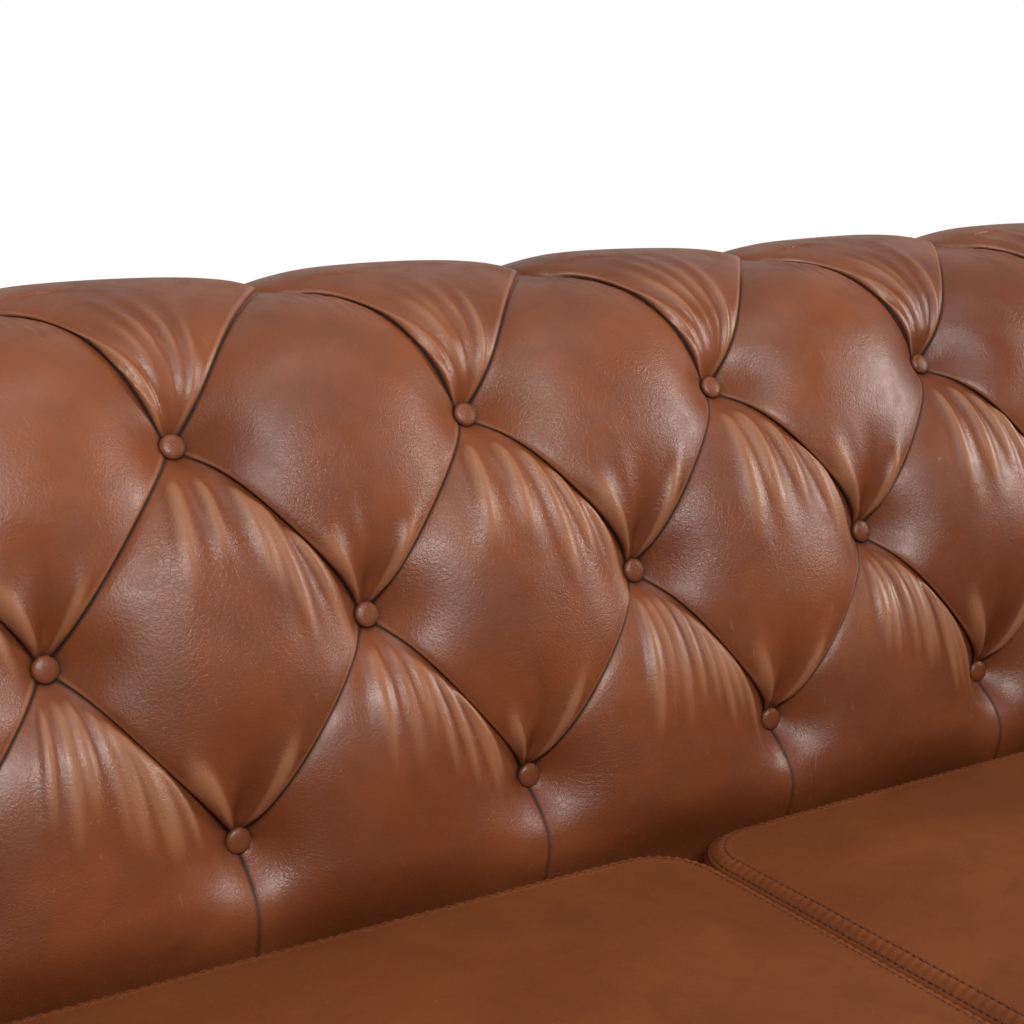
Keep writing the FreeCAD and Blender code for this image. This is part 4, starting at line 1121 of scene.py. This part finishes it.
def outside_panel(name, node, corner, along, outwards, width, seams):
    """Leather over an outside panel, softly crowned, with upright seams."""
    low_z, high_z = FACING_BOTTOM, PANEL_TOP_Z
    corner, along, outwards = (np.array(x, float) for x in (corner, along, outwards))
    rng = random_for(len(name), 21)
    phase = rng.uniform(0, 6, 3)
    rows = []
    for z in np.linspace(low_z, high_z, 56):
        up = (z - low_z) / (high_z - low_z)
        row = []
        for s_along in np.linspace(0, width, max(int(width / 9), 40)):
            share = s_along / width
            edge = min(s_along, width - s_along, z - low_z)
            out = PANEL_CROWN * (1 - math.exp(-edge / 14.0)) * (1 - 0.7 * up ** 4)
            for seam in seams:
                out -= SEAM_GROOVE * math.exp(-((s_along - seam) / 2.5) ** 2)
            out += 0.5 * math.sin(s_along / 83 + phase[0]) * math.sin(z / 71 + phase[1])
            point = corner + along * s_along + outwards * (out + 0.4)
            row.append((point[0], point[1], z))
        rows.append(row)
    obj = grid_mesh(name, rows)
    leather_piece(obj, node)


BORDER_ROUND = 6.0             # radius of the border's upper and lower edges
BORDER_BULGE = 1.0             # how far it stands before its solid
BORDER_CROWN = 2.5


def front_border():
    """The padded strip below the seat cushions, between the two facings."""
    low, high = (np.array(c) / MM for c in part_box("front_border_cover"))
    reach = high[1] - low[1] + BORDER_BULGE
    radius = BORDER_ROUND
    profile = [(0.0, low[2])]
    profile += arc(reach - radius, low[2] + radius, radius, np.linspace(270, 180, 9))
    profile += [(reach, z) for z in np.linspace(low[2] + radius, high[2] - radius, 22)[1:-1]]
    profile += arc(reach - radius, high[2] - radius, radius, np.linspace(180, 90, 9))
    profile.append((0.0, high[2]))
    middle_z, half_z = (low[2] + high[2]) / 2, (high[2] - low[2]) / 2
    rows = []
    for x in np.linspace(low[0], high[0], 190):
        end = min(x - low[0], high[0] - x)
        pinch = 1 - 0.06 * math.exp(-end / 9.0)
        ripple = 0.5 * math.sin(x / 61.0) + 0.3 * math.sin(x / 23.0 + 1)
        row = []
        for out, z in profile:
            crown = (BORDER_CROWN + ripple) * (1 - ((z - middle_z) / half_z) ** 2)
            row.append((x, high[1] - (out + crown * (out > 0)) * pinch, z))
        rows.append(row)
    obj = grid_mesh("front_border_leather", rows)
    leather_piece(obj, "front_border_cover")


def flat_sheet(name, node, slot):
    """A stretched sheet that fills its solid's place."""
    low, high = (np.array(c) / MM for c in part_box(node))
    rows = [[(x, y, high[2]) for x in np.linspace(low[0], high[0], 120)]
            for y in np.linspace(low[1], high[1], 46)]
    obj = grid_mesh(name, rows)
    solidify = obj.modifiers.new("thickness", "SOLIDIFY")
    solidify.thickness = (high[2] - low[2]) * MM * 0.8
    solidify.offset = -1
    dress(obj, SLOT_MATERIALS[slot], "root", [node])


def outer_pieces():
    for side, place, flip, _ in ARMS:
        facing(side, place, not flip)
    reach = HALF_SEAT + PANEL_FACE_N
    back_y = FOOT_Y + PANEL_FACE_N
    front_y = FOOT_Y - ARM_RUN + 1
    outside_panel("outside_back_leather", "outside_back_panel", (reach, back_y, 0),
                  (-1, 0, 0), (0, 1, 0), 2 * reach, [2 * reach / 3, 4 * reach / 3])
    outside_panel("outside_arm_leather_right", "outside_arm_panel_right", (reach, front_y, 0),
                  (0, 1, 0), (1, 0, 0), back_y - front_y, [])
    outside_panel("outside_arm_leather_left", "outside_arm_panel_left", (-reach, back_y, 0),
                  (0, -1, 0), (-1, 0, 0), back_y - front_y, [])
    front_border()
    flat_sheet("deck_cloth_sheet", "deck_cloth", "webbing")
    flat_sheet("dust_cover_sheet", "dust_cover", "black_cloth")


# The stage, lights and camera


def area_light(name, place, target, width, height, power, colour=(1, 1, 1)):
    data = bpy.data.lights.new(name, "AREA")
    data.shape = "RECTANGLE"
    data.size = width
    data.size_y = height
    data.energy = power
    data.color = colour
    obj = new_object(name, data)
    obj.location = place
    direction = Vector(target) - Vector(place)
    obj.rotation_euler = direction.to_track_quat("-Z", "Y").to_euler()


def world():
    """A dim studio with a white backdrop behind the sofa, which reflections show too."""
    w = bpy.data.worlds.new("studio")
    bpy.context.scene.world = w
    m = Nodes(w)
    out = m.add("OutputWorld")
    room = m.add("Background", Color=(1, 0.985, 0.97, 1), Strength=ROOM_LIGHT)
    backdrop = m.add("Background", Color=(1, 1, 1, 1), Strength=1.0)
    path = m.add("LightPath").outputs
    split = m.add("SeparateXYZ")
    m.link(m.add("TexCoord").outputs["Generated"], split.inputs[0])
    behind = m.math("ADD", split.outputs[1], 0.0, clamp=True)
    behind = m.math("MULTIPLY", behind, 2.0, clamp=True)
    mirrored = m.math("MAXIMUM", path["Is Glossy Ray"], path["Is Transmission Ray"], clamp=True)
    mirrored = m.math("MULTIPLY", mirrored, MIRRORED_BACKDROP, clamp=True)
    mirrored = m.math("MULTIPLY", mirrored, behind, clamp=True)
    shown = m.math("MAXIMUM", path["Is Camera Ray"], mirrored, clamp=True)
    m.mix_shaders(shown, room, backdrop, out)


def floor():
    """A pale floor that keeps the shadow and turns into the white background further out."""
    mesh = bpy.data.meshes.new("studio_floor")
    size = 12.0
    mesh.from_pydata([(-size, -size, 0), (size, -size, 0), (size, size, 0), (-size, size, 0)],
                     [], [(0, 1, 2, 3)])
    m = surface("pale_floor")
    m.link(m.mix(m.noise(3.0), srgb(238, 237, 235), srgb(244, 243, 241)),
           m.shader.inputs["Base Color"])
    m.shader.inputs["Roughness"].default_value = 0.8
    white = m.add("Emission", Color=(1, 1, 1, 1), Strength=1.0)
    coordinates = m.add("TexCoord")
    distance = m.add("VectorMath", operation="LENGTH")
    m.link(coordinates.outputs["Object"], distance.inputs[0])
    far = m.ramp(distance.outputs["Value"], 1.6, 3.2)
    path = m.add("LightPath")
    share = m.math("MULTIPLY", far, path.outputs["Is Camera Ray"])
    m.mix_shaders(share, m.shader, white, m.output)
    mesh.materials.append(m.material)
    new_object("studio_floor", mesh)


def camera():
    data = bpy.data.cameras.new("photo_camera")
    data.lens = CAMERA_LENS
    data.sensor_width = 36.0
    data.clip_end = 50.0
    obj = new_object("photo_camera", data)
    n0, z0, turn = (float(x) for x in section(ROW_V[2]))
    button = (CAMERA_BUTTON_X * BUTTON_SPACING, FOOT_Y + n0 - BUTTON_FACE * math.cos(turn),
              z0 + BUTTON_FACE * math.sin(turn))
    obj.location = [(b + c) * MM for b, c in zip(button, CAMERA_FROM_BUTTON)]
    obj.rotation_euler = (math.radians(90 - CAMERA_PITCH), 0, math.radians(-CAMERA_YAW))
    bpy.context.scene.camera = obj


camera()
world()
floor()
area_light("softbox", (-0.8, -2.0, 2.5), (-0.1, 0.25, 0.6), 1.5, 1.1, 60, (1, 0.99, 0.97))
area_light("side", (2.9, -1.0, 1.6), (0.2, 0.2, 0.6), 1.1, 1.7, 66, (1, 0.97, 0.93))
area_light("over", (0.2, -0.3, 3.3), (0.0, 0.2, 0.6), 2.4, 1.0, 14)
bpy.context.scene.view_settings.view_transform = "Standard"

dress_frame()
tufted_covers()
buttons()
for side in ("left", "right"):
    cushion = Cushion(side)
    cushion.leather()
    cushion.seam_band()
    cushion.stitches()
outer_pieces()
